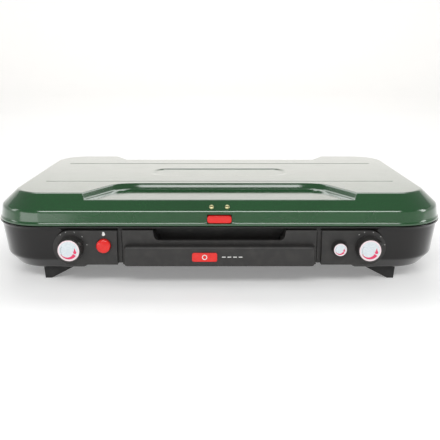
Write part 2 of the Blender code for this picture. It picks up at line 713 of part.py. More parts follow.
# Controls -----------------------------------------------------------------------------------------
def knob(name, x, radius, dial_radius, proud, material):
    """Skirted knob with a finger tab, a seat for its dial disc and a bore for the stem."""
    face = FRONT_Y - proud
    length = proud + PANEL_REACH - GAP
    taper = radius * 0.93
    profile = [(taper - 0.0012, 0), (taper, 0.0012), (radius * 0.96, length * 0.6)]
    profile += [(radius, length * 0.62), (radius, length)]
    shape = turned(name, profile, (x, face, CONTROL_Z), (0, 1, 0), 28, material)
    angle = math.radians(TAB_ANGLE)
    out = Vector((math.cos(angle), 0, math.sin(angle))) * (radius - 0.0018)
    start = Vector((x, face + 0.0022, CONTROL_Z)) + out
    join(shape, rod("tab", start, start + Vector((0, length - 0.0022, 0)), radius * 0.2, 10))
    seat = rod("seat", (x, face - 0.01, CONTROL_Z), (x, face + DIAL_THICK, CONTROL_Z), dial_radius + GAP, 28)
    bore_start = (x, face + STEM_DEPTH, CONTROL_Z)
    bore = rod("bore", bore_start, (x, FRONT_Y + 0.01, CONTROL_Z), STEM_RADIUS + GAP, 12)
    return smooth(cut(shape, seat, bore))


def dial(name, x, radius, proud, material):
    start = (x, FRONT_Y - proud, CONTROL_Z)
    end = (x, FRONT_Y - proud + DIAL_THICK - GAP, CONTROL_Z)
    return smooth(rod(name, start, end, radius, 28, material))


def valve_stem(name, x, proud, material):
    start = (x, FRONT_Y - proud + STEM_DEPTH + GAP, CONTROL_Z)
    end = (x, FRONT_Y + VALVE_REACH[0] + VALVE_BORE - 0.0010, CONTROL_Z)
    return smooth(rod(name, start, end, STEM_RADIUS, 12, material))


def valve(name, x, material):
    """Brass valve body: it sits on the manifold and points its jet back at the mixing tube."""
    z = CONTROL_Z
    low, high = FRONT_Y + VALVE_REACH[0], FRONT_Y + VALVE_REACH[1]
    body = block(name, (x - VALVE_HALF, low, z - VALVE_HALF), (x + VALVE_HALF, high, z + VALVE_HALF), material)
    jet = turned("jet", [(0.0045, -0.002), (0.0045, 0.003), (0.0025, JET_LENGTH)], (x, high, z), (0, 1, 0), 12)
    half = VALVE_HALF - 0.0025
    rail_y = FRONT_Y + MANIFOLD_REACH
    leg = block("leg", (x - half, high - 0.0070, MANIFOLD_Z - half), (x + half, rail_y, z))
    bore = rod("bore", (x, low - 0.01, z), (x, low + VALVE_BORE, z), STEM_RADIUS + GAP, 12)
    rail_start = (x - 0.02, rail_y, MANIFOLD_Z)
    rail = rod("rail", rail_start, (x + 0.02, rail_y, MANIFOLD_Z), MANIFOLD_RADIUS + 2 * GAP, 16)
    return cut(join(body, jet, leg), bore, rail)


def igniter_button(material):
    """Domed push button with its plunger."""
    radius = IGNITER_RADIUS - SLIDE_GAP
    dome_height = radius * 0.51
    dome = [(radius * math.sin(a), dome_height * (1 - math.cos(a))) for a in (0.35, 0.75, 1.15)]
    length = IGNITER_PROUD + IGNITER_SKIRT
    plunger = [(PLUNGER_RADIUS, length), (PLUNGER_RADIUS, length + PLUNGER_LENGTH)]
    profile = [*dome, (radius, dome_height), (radius, length), *plunger]
    start = (IGNITER_X, FRONT_Y - IGNITER_PROUD, IGNITER_Z)
    return smooth(turned("igniter_button", profile, start, (0, 1, 0), 20, material))


def igniter_body(material):
    """Piezo spark generator behind the button."""
    start = FRONT_Y + IGNITER_SKIRT + IGNITER_TRAVEL + 0.0020
    radius, flange = IGNITER_BODY_RADIUS, IGNITER_BODY_RADIUS + 0.0025
    profile = [(flange, 0), (flange, 0.003), (radius, 0.0035), (radius, IGNITER_BODY_LENGTH)]
    body = turned("igniter_body", profile, (IGNITER_X, start, IGNITER_Z), (0, 1, 0), 20, material)
    bore_end = (IGNITER_X, start + PLUNGER_LENGTH + IGNITER_TRAVEL, IGNITER_Z)
    bore = rod("bore", (IGNITER_X, start - 0.01, IGNITER_Z), bore_end, PLUNGER_RADIUS + GAP, 12)
    return smooth(cut(body, bore))


# Gas train ----------------------------------------------------------------------------------------
def manifold(material):
    """Gas rail from the inlet at the right side to the three valves."""
    y, z = FRONT_Y + MANIFOLD_REACH, MANIFOLD_Z
    bend = HALF_WIDTH - CORNER_RADIUS
    side = HALF_WIDTH - 0.0215
    last = INLET_Y - INLET_RADIUS - GAP
    points = [
        (-KNOB_X - 0.012, y, z),
        (bend - 0.010, y, z),
        (side, y + 0.065, z),
        (side, last - 0.035, z),
        (side, last - 0.012, INLET_Z),
        (side, last, INLET_Z),
    ]
    return pipe("gas_manifold", points, MANIFOLD_RADIUS, material, 2, 0.020)


def gas_inlet(material):
    """Threaded brass inlet just inside the port in the right side wall."""
    spot = Vector((HALF_WIDTH - 0.0310, INLET_Y, INLET_Z))
    neck = INLET_RADIUS - 0.0020
    profile = [(neck - 0.0005, 0), (INLET_RADIUS, 0.0015), (INLET_RADIUS, 0.0110)]
    profile += [(neck, 0.0115), (neck, 0.0190)]
    fitting = turned("gas_inlet", profile, spot, (1, 0, 0), 20, material)
    mouth = rod("mouth", spot + Vector((0.0060, 0, 0)), spot + Vector((0.03, 0, 0)), neck - 0.0025, 16)
    return smooth(cut(fitting, mouth))


def mixing_tube(name, x, burner_x, neck, material):
    """Tube from a valve's jet, sloping down clear of the well's front corner, to a burner's neck."""
    start = Vector((x, FRONT_Y + VALVE_REACH[1] + JET_LENGTH + 0.0015, CONTROL_Z))
    bend = start + Vector((0, 0.0090, 0))
    corner_y, corner_z = FRONT_Y + WELL_FRONT + WELL_SLOPE, WELL_FLOOR_Z - SHEET
    away, drop = corner_y - bend.y, bend.z - corner_z
    steepness = math.atan2(drop, away) + math.asin((TUBE_RADIUS + TUBE_CLEARANCE) / math.hypot(away, drop))
    under = Vector((x, bend.y + (bend.z - TUBE_Z) / math.tan(steepness), TUBE_Z))
    goal = Vector((burner_x, BURNER_Y, TUBE_Z))
    heading = (goal - under).normalized()
    end = goal - heading * (neck + 3 * GAP)
    return pipe(name, [start, bend, under, end], TUBE_RADIUS, material, 2)


# Cooktop, burners and grates ------------------------------------------------------------------------
def well_ring(grow, height):
    """The well's outline moved out by grow, at a height above the seam."""
    outline = rounded_rectangle(WELL_HALF_X + grow, WELL_HALF_Y + grow, WELL_RADIUS + grow, (0.0, BURNER_Y))
    return [Vector((x, y, SEAM_Z + height)) for x, y in outline]


def floor_hole(x, y, radius, sides):
    return rod("floor_hole", (x, y, WELL_FLOOR_Z - 0.01), (x, y, WELL_FLOOR_Z + 0.01), radius, sides)


def cooktop(material):
    """Enamelled cooktop: a flat rim that rests in the pan's rebate, round a deep well."""
    top = RIM_TOP_Z - SEAM_Z
    inset = REBATE_INSET + GAP
    plate = loft("cooktop", [case_ring(inset, top), case_ring(inset, top - SHEET)], material)
    inside = [(0.0, 0.0), (-WELL_SLOPE, -WELL_DROP), (-WELL_SLOPE - 0.03, -WELL_DROP)]
    outside = shifted(inside, -SHEET)
    outside[0].y = top - SHEET / 2
    join(plate, loft("well_outside", [well_ring(*p) for p in soften(outside, WELL_BEND)]))
    inner = [(0.0, top + 0.01), (0.0, top), *soften(inside, WELL_BEND)[1:]]
    cut(plate, loft("well_inside", [well_ring(*p) for p in inner]))
    holes = [floor_hole(x, BURNER_Y, neck + 0.0010, 28) for x, _, neck, _ in burner_spots()]
    holes += [floor_hole(x, y, INSULATOR_SHANK + 0.0012, 12) for x, y in spark_spots()]
    half = TONGUE_HALF + SLIDE_GAP
    high = (half, FRONT_Y + LEDGE_INSET + 0.0050, SEAM_Z + 0.01)
    notch = block("latch_notch", (-half, FRONT_Y, SEAM_Z - 0.01), high)
    return smooth(cut(plate, *holes, notch))


def burner_spots():
    """(x, head radius, neck radius, name) of the burners, in the order of the gas controls."""
    return [
        (-BURNER_X, BURNER_RADIUS, NECK_RADIUS, "left"),
        (0.0, SMALL_BURNER_RADIUS, SMALL_NECK_RADIUS, "centre"),
        (BURNER_X, BURNER_RADIUS, NECK_RADIUS, "right"),
    ]


def spark_spots():
    """(x, y) of the spark electrodes, just in front of each burner's head."""
    return [(x, BURNER_Y - radius - SPARK_OFFSET) for x, radius, _, _ in burner_spots()]


def burner(name, x, radius, neck, material):
    """Burner pot: a neck that drops through the cooktop and a shallow open head."""
    inner = radius - BURNER_LIP
    profile = [
        (neck, TUBE_Z - TUBE_RADIUS - 0.0010),
        (neck, BURNER_HEAD_Z),
        (radius - 0.0040, BURNER_HEAD_Z + 0.0015),
        (radius, BURNER_HEAD_Z + 0.0030),
        (radius, BURNER_TOP_Z),
        (inner, BURNER_TOP_Z),
    ]
    body = turned(name, profile, (x, BURNER_Y, 0), (0, 0, 1), 24, material)
    bowl = rod("bowl", (x, BURNER_Y, BURNER_HEAD_Z + 0.0040), (x, BURNER_Y, BURNER_TOP_Z + 0.01), inner, 24)
    return smooth(cut(body, bowl))


def burner_cap(name, x, radius, material):
    """Cap with a spigot that centres it in the burner's head."""
    base = BURNER_TOP_Z + GAP
    spigot = radius - BURNER_LIP - 0.0005
    profile = [(spigot - 0.0015, base - 0.0030), (spigot, base), (radius - 0.0010, base)]
    profile += [(radius - 0.0050, base + CAP_HEIGHT)]
    return smooth(turned(name, profile, (x, BURNER_Y, 0), (0, 0, 1), 24, material))


def electrode(name, x, y, material):
    """Ceramic insulator through the cooktop with a bent spark wire on top."""
    floor = WELL_FLOOR_Z
    shank, collar = INSULATOR_SHANK, INSULATOR_RADIUS
    profile = [(shank, ELECTRODE_BASE_Z), (shank, floor + 0.0008), (collar, floor + 0.0010)]
    profile += [(collar, floor + 0.0030), (shank, floor + 0.0036), (shank, floor + 0.0110)]
    body = turned(name, profile, (x, y, 0), (0, 0, 1), 10, material)
    wire_radius = 0.0008
    foot_point = Vector((x, y, floor + 0.0100))
    bend = foot_point + Vector((0, 0, 0.0030))
    wire = rod("wire", foot_point, bend, wire_radius, 6)
    tip = rod("tip", bend - Vector((0, 0, 0.0004)), bend + Vector((0, 0.0042, 0.0004)), wire_radius, 6)
    return join(body, wire, tip)


def spark_lead(name, x, y, index, material):
    """Insulated lead from the igniter to one electrode, under the cooktop."""
    body_end = FRONT_Y + IGNITER_SKIRT + IGNITER_TRAVEL + 0.0020 + IGNITER_BODY_LENGTH
    start = Vector((IGNITER_X + (index - 1) * LEAD_PITCH, body_end + GAP + 0.0002, IGNITER_Z))
    low = ELECTRODE_BASE_Z - LEAD_RADIUS - GAP
    points = [start, start + Vector((0, 0.010, 0)), Vector((start.x, FRONT_Y + WELL_FRONT - 0.002, low))]
    if abs(x - IGNITER_X) > FAR:
        lane = FRONT_Y + WELL_FRONT + 0.012 + LANE_PITCH * (2 - index)
        points += [Vector((start.x + 0.03, lane, low)), Vector((x - 0.04, lane, low))]
    points += [Vector((x, y - 0.020, low)), Vector((x, y, low))]
    return pipe(name, points, LEAD_RADIUS, material, 0)


def grate(name, low_x, high_x, material):
    """Welded wire grate: bars front to back that lie on the cooktop's rim, on two cross rails."""
    half_y = WELL_HALF_Y + GRATE_OVERHANG
    bar_z = RIM_TOP_Z + GAP + ROD_RADIUS
    rail_z = bar_z - 1.5 * ROD_RADIUS
    first, last = low_x + ROD_RADIUS, high_x - ROD_RADIUS
    count = round((high_x - low_x) / GRATE_PITCH)
    rails = []
    for y in (BURNER_Y - RAIL_OFFSET, BURNER_Y + RAIL_OFFSET):
        rails.append(rod(name, (low_x + GAP, y, rail_z), (high_x - GAP, y, rail_z), ROD_RADIUS, 6, material))
    whole, other_rail = rails
    bars = []
    for k in range(count + 1):
        x = first + (last - first) * k / count
        bars.append(rod("bar", (x, BURNER_Y - half_y, bar_z), (x, BURNER_Y + half_y, bar_z), ROD_RADIUS, 6))
    return smooth(join(whole, bars[0], other_rail, *bars[1:]), 50)


# Hinges -------------------------------------------------------------------------------------------
def on_axis(name, start, end, radius, sides=12, material=None):
    """Rod along the lid's hinge axis."""
    return rod(name, (start, HINGE_AXIS_Y, SEAM_Z), (end, HINGE_AXIS_Y, SEAM_Z), radius, sides, material)


def pin_bore(x):
    return on_axis("pin_bore", x - HINGE_HALF - 0.01, x + HINGE_HALF + 0.01, PIN_RADIUS + GAP)


def leaf_plate(name, outline, start, end, material=None):
    """Prism along X whose outline is given as (world Y, height above the seam)."""
    return prism(name, [(y, SEAM_Z + height) for y, height in outline], "X", start, end, material)


def knuckle(start, end, side):
    """Knuckle from start to end with the web that ties it to its leaf, above (1) or below (-1) the axis."""
    tie = side * (HINGE_CLEAR + 0.0010)
    web = [(-0.0024, 0.0), (0.0024, 0.0), (0.0020, tie), (-0.0020, tie)]
    barrel = on_axis("knuckle", start, end, KNUCKLE_RADIUS, 16)
    return join(barrel, leaf_plate("web", [(HINGE_AXIS_Y + y, height) for y, height in web], start, end))


def hinge_lid_leaf(name, x, material):
    """Leaf up the back of the lid, with the middle knuckle."""
    low, high = HINGE_CLEAR, HINGE_LEAF_TOP
    lean = (RIDGE_INSET - HEM_BEAD) / RIDGE_HEIGHT
    face_low = BACK_Y - HEM_BEAD - lean * low + 2 * GAP
    face_high = BACK_Y - HEM_BEAD - lean * high + 2 * GAP
    shelf = HINGE_AXIS_Y + 0.0020
    plate = [(face_low, low), (face_high, high), (face_high + LEAF_SHEET, high)]
    plate += [(shelf, low + 0.0015), (shelf, low)]
    leaf = leaf_plate(name, plate, x - HINGE_HALF, x + HINGE_HALF, material)
    return cut(join(leaf, knuckle(x - KNUCKLE_HALF, x + KNUCKLE_HALF, 1)), pin_bore(x))


def hinge_base_leaf(name, x, material):
    """Leaf down the back of the pan, with the two outer knuckles."""
    low, high = HINGE_LEAF_BOTTOM, -HINGE_CLEAR
    face_low, face_high = BACK_Y - wall_reach(low) + GAP, BACK_Y - wall_reach(high) + GAP
    shelf = HINGE_AXIS_Y + 0.0020
    elbow = (face_high + LEAF_SHEET, high - 0.0060)
    plate = [(face_low, low), (face_high, high), (shelf, high), (shelf, high - 0.0015), elbow]
    plate.append((face_low + LEAF_SHEET, low))
    leaf = leaf_plate(name, plate, x - HINGE_HALF, x + HINGE_HALF, material)
    inner = KNUCKLE_HALF + KNUCKLE_GAP
    knuckles = [knuckle(x - HINGE_HALF, x - inner, -1), knuckle(x + inner, x + HINGE_HALF, -1)]
    return cut(join(leaf, *knuckles), pin_bore(x))


def hinge_pin(name, x, material):
    half = HINGE_HALF + PIN_PROUD
    return smooth(on_axis(name, x - half, x + half, PIN_RADIUS, 12, material))


# Assembly -----------------------------------------------------------------------------------------
def make_finishes():
    """The stove's materials by name."""
    looks = {
        "green_enamel": ((0.045, 0.130, 0.062), 0.25, 0.0),
        "black_enamel": ((0.020, 0.019, 0.018), 0.22, 0.0),
        "black_moulding": ((0.045, 0.042, 0.040), 0.55, 0.0),
        "zinc_plated_steel": ((0.60, 0.60, 0.58), 0.35, 1.0),
        "chromed_wire": ((0.72, 0.72, 0.72), 0.15, 1.0),
        "brass": ((0.62, 0.45, 0.20), 0.32, 1.0),
        "cast_aluminium": ((0.45, 0.45, 0.45), 0.55, 1.0),
        "scarlet_plastic": ((0.75, 0.040, 0.030), 0.30, 0.0),
        "silver_dial": ((0.55, 0.58, 0.60), 0.40, 0.0),
        "white_ceramic": ((0.85, 0.84, 0.80), 0.35, 0.0),
        "black_rubber": ((0.016, 0.016, 0.016), 0.75, 0.0),
    }
    return {name: finish(name, *look) for name, look in looks.items()}


def build_case(looks):
    """Pan, lid, cooktop, feet, hinges and latch."""
    base_pan(looks["black_enamel"])
    lid_shell(looks["green_enamel"])
    cooktop(looks["black_enamel"])
    steel = looks["zinc_plated_steel"]
    for side, label in ((-1, "left"), (1, "right")):
        foot(f"foot_front_{label}", side, FOOT_REACH, looks["black_rubber"])
        foot(f"foot_rear_{label}", side, CASE_DEPTH - FOOT_REACH - FOOT_LENGTH, looks["black_rubber"])
        hinge_base_leaf(f"hinge_base_leaf_{label}", side * HINGE_X, steel)
        hinge_lid_leaf(f"hinge_lid_leaf_{label}", side * HINGE_X, steel)
        hinge_pin(f"hinge_pin_{label}", side * HINGE_X, steel)
        latch_screw(f"latch_screw_{label}", side * SCREW_X, looks["brass"])
    latch_bracket(steel)
    latch_tongue(steel)
    latch_button(looks["scarlet_plastic"])


def build_front(looks):
    """Control panels, handle, knobs and igniter."""
    moulding = looks["black_moulding"]
    control_panel("control_panel_left", -1, moulding)
    control_panel("control_panel_right", 1, moulding)
    front_handle(moulding)
    handle_badge(looks["scarlet_plastic"])
    big = (KNOB_RADIUS, DIAL_RADIUS, KNOB_PROUD)
    small = (SMALL_KNOB_RADIUS, SMALL_DIAL_RADIUS, SMALL_KNOB_PROUD)
    for x, label in control_spots():
        radius, dial_radius, proud = small if label == "centre" else big
        knob(f"knob_{label}", x, radius, dial_radius, proud, moulding)
        dial(f"dial_{label}", x, dial_radius, proud, looks["silver_dial"])
        valve_stem(f"valve_stem_{label}", x, proud, looks["brass"])
    igniter_button(looks["scarlet_plastic"])
    igniter_body(moulding)


def build_gas_train(looks):
    """Valves, manifold, inlet, mixing tubes, burners and spark parts."""
    for index, ((x, label), spot) in enumerate(zip(control_spots(), burner_spots())):
        burner_x, radius, neck, _ = spot
        valve(f"valve_{label}", x, looks["brass"])
        mixing_tube(f"mixing_tube_{label}", x, burner_x, neck, looks["zinc_plated_steel"])
        burner(f"burner_{label}", burner_x, radius, neck, looks["cast_aluminium"])
        burner_cap(f"burner_cap_{label}", burner_x, radius, looks["cast_aluminium"])
        spark_x, spark_y = spark_spots()[index]
        electrode(f"spark_electrode_{label}", spark_x, spark_y, looks["white_ceramic"])
        spark_lead(f"spark_lead_{label}", spark_x, spark_y, index, looks["black_rubber"])
    manifold(looks["brass"])
    gas_inlet(looks["brass"])


def build_grates(looks):
    edge = WELL_HALF_X - GRATE_EDGE
    spacing = 0.001
    grate("grate_left", -edge, -GRATE_SPLIT - spacing, looks["chromed_wire"])
    grate("grate_centre", -GRATE_SPLIT + spacing, GRATE_SPLIT - spacing, looks["chromed_wire"])
    grate("grate_right", GRATE_SPLIT + spacing, edge, looks["chromed_wire"])


clear_scene()
finishes = make_finishes()
build_case(finishes)
build_front(finishes)
build_gas_train(finishes)
build_grates(finishes)
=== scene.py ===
"""Looks of a three-burner tabletop camping stove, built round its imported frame.

Metres, +X to the right, -Y to the front, +Z up. The seam is the level where the lid meets the base, and a
reach is measured back (+Y) from the front of the lid's hem. Every sheet, moulding and fitting is a class
that models its own pieces, and every finish is a class that builds its own procedural material.
"""

import json
import logging
import math
from collections.abc import Callable, Iterator, Sequence
from contextlib import contextmanager
from dataclasses import dataclass, field
from enum import Enum

import bmesh
import bpy
import numpy as np
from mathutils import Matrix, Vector

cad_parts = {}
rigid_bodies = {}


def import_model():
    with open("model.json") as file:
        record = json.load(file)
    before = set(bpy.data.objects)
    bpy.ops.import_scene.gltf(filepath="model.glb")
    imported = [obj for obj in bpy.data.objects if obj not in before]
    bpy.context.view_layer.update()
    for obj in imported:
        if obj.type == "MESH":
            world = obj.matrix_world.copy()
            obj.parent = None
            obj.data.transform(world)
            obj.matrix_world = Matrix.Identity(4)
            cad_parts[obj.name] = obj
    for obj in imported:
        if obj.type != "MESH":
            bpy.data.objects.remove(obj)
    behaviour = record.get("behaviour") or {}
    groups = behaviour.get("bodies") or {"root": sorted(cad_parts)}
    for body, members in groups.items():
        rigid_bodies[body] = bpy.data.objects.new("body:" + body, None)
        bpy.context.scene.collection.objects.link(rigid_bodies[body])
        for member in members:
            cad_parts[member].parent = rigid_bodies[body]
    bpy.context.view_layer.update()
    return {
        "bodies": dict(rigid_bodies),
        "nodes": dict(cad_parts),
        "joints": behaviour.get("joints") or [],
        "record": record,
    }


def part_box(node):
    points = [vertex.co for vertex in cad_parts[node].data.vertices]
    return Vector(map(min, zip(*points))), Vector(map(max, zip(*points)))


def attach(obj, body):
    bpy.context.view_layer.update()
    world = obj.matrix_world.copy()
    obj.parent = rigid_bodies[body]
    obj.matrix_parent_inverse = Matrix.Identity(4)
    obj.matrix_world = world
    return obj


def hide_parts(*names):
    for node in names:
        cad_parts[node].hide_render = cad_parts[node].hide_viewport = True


LOG = logging.getLogger("stove")
Pair = tuple[float, float]
Triple = tuple[float, float, float]


# Enums --------------------------------------------------------------------------------------------------
class Body(str, Enum):
    """The moving bodies of the stove."""

    BASE = "base"
    LID = "lid"
    LATCH = "latch"
    LEFT_KNOB = "left_knob"
    CENTRE_KNOB = "centre_knob"
    RIGHT_KNOB = "right_knob"
    IGNITER = "igniter"


class Pick(str, Enum):
    """What a selection rule is asked about."""

    VERT = "VERT"
    EDGE = "EDGE"
    FACE = "FACE"


class Side(Enum):
    """The two ends of the stove."""

    LEFT = -1
    RIGHT = 1

    @property
    def label(self) -> str:
        """The side's name as the nodes spell it."""
        return self.name.lower()


# Frame --------------------------------------------------------------------------------------------------
@dataclass
class Stove:
    """The places that everything is set out from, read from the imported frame."""

    front: float
    back: float
    seam: float
    top: float
    half_width: float
    corner: float = 0.082
    sheet: float = 0.0012
    gap: float = 0.0003

    @classmethod
    def from_frame(cls) -> "Stove":
        """Reads the lid's box, which gives the front, back, seam and top.

        Returns:
            The stove's places.
        """
        low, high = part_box("lid_shell")
        gap = cls.gap
        return cls(low.y, high.y, low.z - gap, high.z, high.x)

    @property
    def middle(self) -> float:
        """Y of the case's middle line."""
        return (self.front + self.back) / 2

    def outline(self, inset: float) -> "Outline":
        """The case's plan outline moved inwards by an inset."""
        half_y = (self.back - self.front) / 2
        return Outline(self.half_width - inset, half_y - inset, self.corner - inset, self.middle)


@dataclass
class Outline:
    """A rectangle with rounded corners, seen from above."""

    half_x: float
    half_y: float
    radius: float
    middle: float

    @property
    def core(self) -> Pair:
        """Half sizes of the rectangle through the corners' centres."""
        return self.half_x - self.radius, self.half_y - self.radius

    def outward(self, x: float, y: float) -> Pair:
        """The outline's outward normal nearest to a point near the outline.

        Args:
            x: the point's x.
            y: the point's world y.

        Returns:
            A unit vector in x and y.
        """
        core_x, core_y = self.core
        off_x = math.copysign(max(abs(x) - core_x, 0.0), x)
        off_y = math.copysign(max(abs(y - self.middle) - core_y, 0.0), y - self.middle)
        length = math.hypot(off_x, off_y)
        return off_x / length, off_y / length

    def inset_of(self, x: np.ndarray, y: np.ndarray) -> np.ndarray:
        """How far inside the outline points lie.

        Args:
            x: the points' x.
            y: the points' world y.

        Returns:
            The distances, positive inside.
        """
        core_x, core_y = self.core
        over_x = np.abs(x) - core_x
        over_y = np.abs(y - self.middle) - core_y
        outside = np.hypot(np.maximum(over_x, 0), np.maximum(over_y, 0))
        return self.radius - outside - np.minimum(np.maximum(over_x, over_y), 0)

    def carried_to(self, other: "Outline", x: float, y: float) -> Pair:
        """Carries a point of this outline to the matching point of another outline.

        Args:
            other: the outline to carry it to.
            x: the point's x.
            y: the point's world y.

        Returns:
            The matching point.
        """
        core_x, core_y = self.core
        far_x, far_y = other.core
        normal_x, normal_y = self.outward(x, y)
        along_x = max(-core_x, min(core_x, x)) / core_x
        along_y = max(-core_y, min(core_y, y - self.middle)) / core_y
        return (
            along_x * far_x + normal_x * other.radius,
            other.middle + along_y * far_y + normal_y * other.radius,
        )


def place_of(node: str) -> tuple[Vector, Vector]:
    """The middle of a CAD node's box, and half its size each way."""
    low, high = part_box(node)
    return (low + high) / 2, (high - low) / 2


# Workbench: modelling by hand, step by step ------------------------------------------------------------
def deselect() -> None:
    """Leaves edit mode and deselects every object."""
    if bpy.context.object and bpy.context.object.mode != "OBJECT":
        bpy.ops.object.mode_set(mode="OBJECT")
    bpy.ops.object.select_all(action="DESELECT")


def take(*pieces: bpy.types.Object) -> bpy.types.Object:
    """Selects only these pieces and makes the first one active.

    Args:
        pieces: the objects to select.

    Returns:
        The first piece.
    """
    deselect()
    for piece in pieces:
        piece.select_set(True)
    bpy.context.view_layer.objects.active = pieces[0]
    return pieces[0]


@contextmanager
def editing(piece: bpy.types.Object) -> Iterator[None]:
    """Opens a piece in edit mode with nothing selected."""
    take(piece)
    bpy.ops.object.mode_set(mode="EDIT")
    bpy.ops.mesh.select_all(action="DESELECT")
    yield
    bpy.ops.object.mode_set(mode="OBJECT")


def pick(kind: Pick, rule: Callable[..., bool]) -> int:
    """Selects the parts of the edited mesh that a rule holds for.

    Args:
        kind: whether vertices, edges or faces are asked about.
        rule: takes a bmesh element and says whether it is selected.

    Returns:
        How many were selected.
    """
    bpy.ops.mesh.select_mode(type=kind.value)
    bpy.ops.mesh.select_all(action="DESELECT")
    mesh = bpy.context.object.data
    bm = bmesh.from_edit_mesh(mesh)
    bm.normal_update()
    parts = {Pick.VERT: bm.verts, Pick.EDGE: bm.edges, Pick.FACE: bm.faces}[kind]
    chosen = [part for part in parts if rule(part)]
    for part in chosen:
        part.select_set(True)
    bm.select_flush_mode()
    bmesh.update_edit_mesh(mesh)
    return len(chosen)


def place_selected(mover: Callable[[Vector], Vector]) -> None:
    """Moves each selected vertex of the edited mesh to where a function sends it."""
    mesh = bpy.context.object.data
    for vertex in bmesh.from_edit_mesh(mesh).verts:
        if vertex.select:
            vertex.co = mover(vertex.co.copy())
    bmesh.update_edit_mesh(mesh)


def called(piece: bpy.types.Object, name: str) -> bpy.types.Object:
    """Names a piece and its mesh, with underscores for spaces."""
    piece.name = name.replace(" ", "_")
    piece.data.name = piece.name
    return piece


def fresh(name: str) -> bpy.types.Object:
    """Names the primitive just added and puts its place into its mesh."""
    piece = called(bpy.context.object, name)
    bpy.ops.object.transform_apply(location=True, rotation=True, scale=True)
    return piece


def block(name: str, low: Sequence[float], high: Sequence[float]) -> bpy.types.Object:
    """A cube stretched from one corner to the other, as the stock to shape."""
    deselect()
    low, high = Vector(low), Vector(high)
    bpy.ops.mesh.primitive_cube_add(size=1.0, location=(low + high) / 2, scale=high - low)
    return fresh(name)


def runs_along(axis: int, *tests: Callable[[Vector], bool]) -> Callable[[bmesh.types.BMEdge], bool]:
    """A rule for edges that run along one axis and whose middle passes every test."""
    def rule(edge: bmesh.types.BMEdge) -> bool:
        """Whether one edge runs straight along the axis, with its middle in the right place."""
        run = edge.verts[1].co - edge.verts[0].co
        middle = (edge.verts[1].co + edge.verts[0].co) / 2
        straight = abs(run[axis]) > 0.999 * run.length
        return straight and all(test(middle) for test in tests)
    return rule


def round_edges(piece: bpy.types.Object, rule: Callable[..., bool], width: float, segments: int) -> None:
    """Bevels the edges that a rule holds for."""
    with editing(piece):
        if pick(Pick.EDGE, rule):
            bpy.ops.mesh.bevel(offset=width, segments=segments, affect="EDGES", clamp_overlap=True)


def apply(piece: bpy.types.Object, kind: str, **settings: object) -> None:
    """Adds a modifier with its settings and applies it."""
    take(piece)
    modifier = piece.modifiers.new(kind.title(), kind)
    for key, value in settings.items():
        setattr(modifier, key, value)
    bpy.ops.object.modifier_apply(modifier=modifier.name)


def carve(piece: bpy.types.Object, *tools: bpy.types.Object) -> bpy.types.Object:
    """Cuts the tools out of a piece and throws them away."""
    return boolean(piece, tools, "DIFFERENCE")


def weld(piece: bpy.types.Object, *tools: bpy.types.Object) -> bpy.types.Object:
    """Joins the tools to a piece as one body."""
    return boolean(piece, tools, "UNION")


def boolean(piece: bpy.types.Object, tools: Sequence[bpy.types.Object], operation: str) -> bpy.types.Object:
    """Applies a Boolean with each tool and throws the tools away.

    Args:
        piece: the piece that is changed.
        tools: the cutters or additions.
        operation: UNION or DIFFERENCE.

    Returns:
        The piece.
    """
    for tool in tools:
        apply(piece, "BOOLEAN", object=tool, operation=operation, solver="EXACT")
        bpy.data.objects.remove(tool, do_unlink=True)
    return piece


def joined(name: str, *pieces: bpy.types.Object) -> bpy.types.Object:
    """Joins separate pieces into one object."""
    piece = take(*pieces)
    bpy.ops.object.join()
    return called(piece, name)


def soften(
    piece: bpy.types.Object, width: float, segments: int = 3, angle: float = 32.0
) -> bpy.types.Object:
    """Rounds every sharp edge as a mould or a file would, and smooths the shading between them.

    Args:
        piece: the piece.
        width: how wide the rounding is.
        segments: its facets.
        angle: edges sharper than this, in degrees, are rounded.

    Returns:
        The piece.
    """
    apply(
        piece, "BEVEL", width=width, segments=segments, limit_method="ANGLE",
        angle_limit=math.radians(angle), miter_outer="MITER_ARC", harden_normals=False,
    )
    return shade(piece, 38.0)


def shade(piece: bpy.types.Object, angle: float = 35.0) -> bpy.types.Object:
    """Smooth shading that keeps edges sharper than an angle crisp, with flats kept flat."""
    take(piece)
    bpy.ops.object.shade_smooth_by_angle(angle=math.radians(angle), keep_sharp_edges=False)
    apply(piece, "WEIGHTED_NORMAL", keep_sharp=True, weight=80)
    return piece


def turned(
    name: str, profile: Sequence[Pair], start: Sequence[float], axis: Sequence[float], sides: int = 48
) -> bpy.types.Object:
    """Turns a solid as on a lathe: a disc is extruded along the axis and resized at each step.

    Args:
        name: the new piece's name.
        profile: pairs of radius and distance along the axis, from one end to the other.
        start: the point on the axis where distances are measured from.
        axis: the direction of the axis.
        sides: how many facets go round.

    Returns:
        The closed solid.
    """
    deselect()
    direction = Vector(axis).normalized()
    origin = Vector(start)
    turn = Vector((0, 0, 1)).rotation_difference(direction).to_euler()
    first_radius, first_along = profile[0]
    bpy.ops.mesh.primitive_circle_add(
        vertices=sides, radius=first_radius, fill_type="NGON",
        location=origin + direction * first_along, rotation=turn,
    )
    piece = fresh(name)
    with editing(piece):
        bpy.ops.mesh.select_mode(type="FACE")
        bpy.ops.mesh.select_all(action="SELECT")
        for (radius, along), (wider, further) in zip(profile, profile[1:]):
            bpy.ops.mesh.extrude_region_move(
                TRANSFORM_OT_translate={"value": direction * (further - along)}
            )
            centre = origin + direction * further
            share = wider / radius
            bpy.ops.transform.resize(value=(share, share, share), center_override=centre)
        bpy.ops.mesh.select_all(action="SELECT")
        bpy.ops.mesh.normals_make_consistent(inside=False)
    return piece


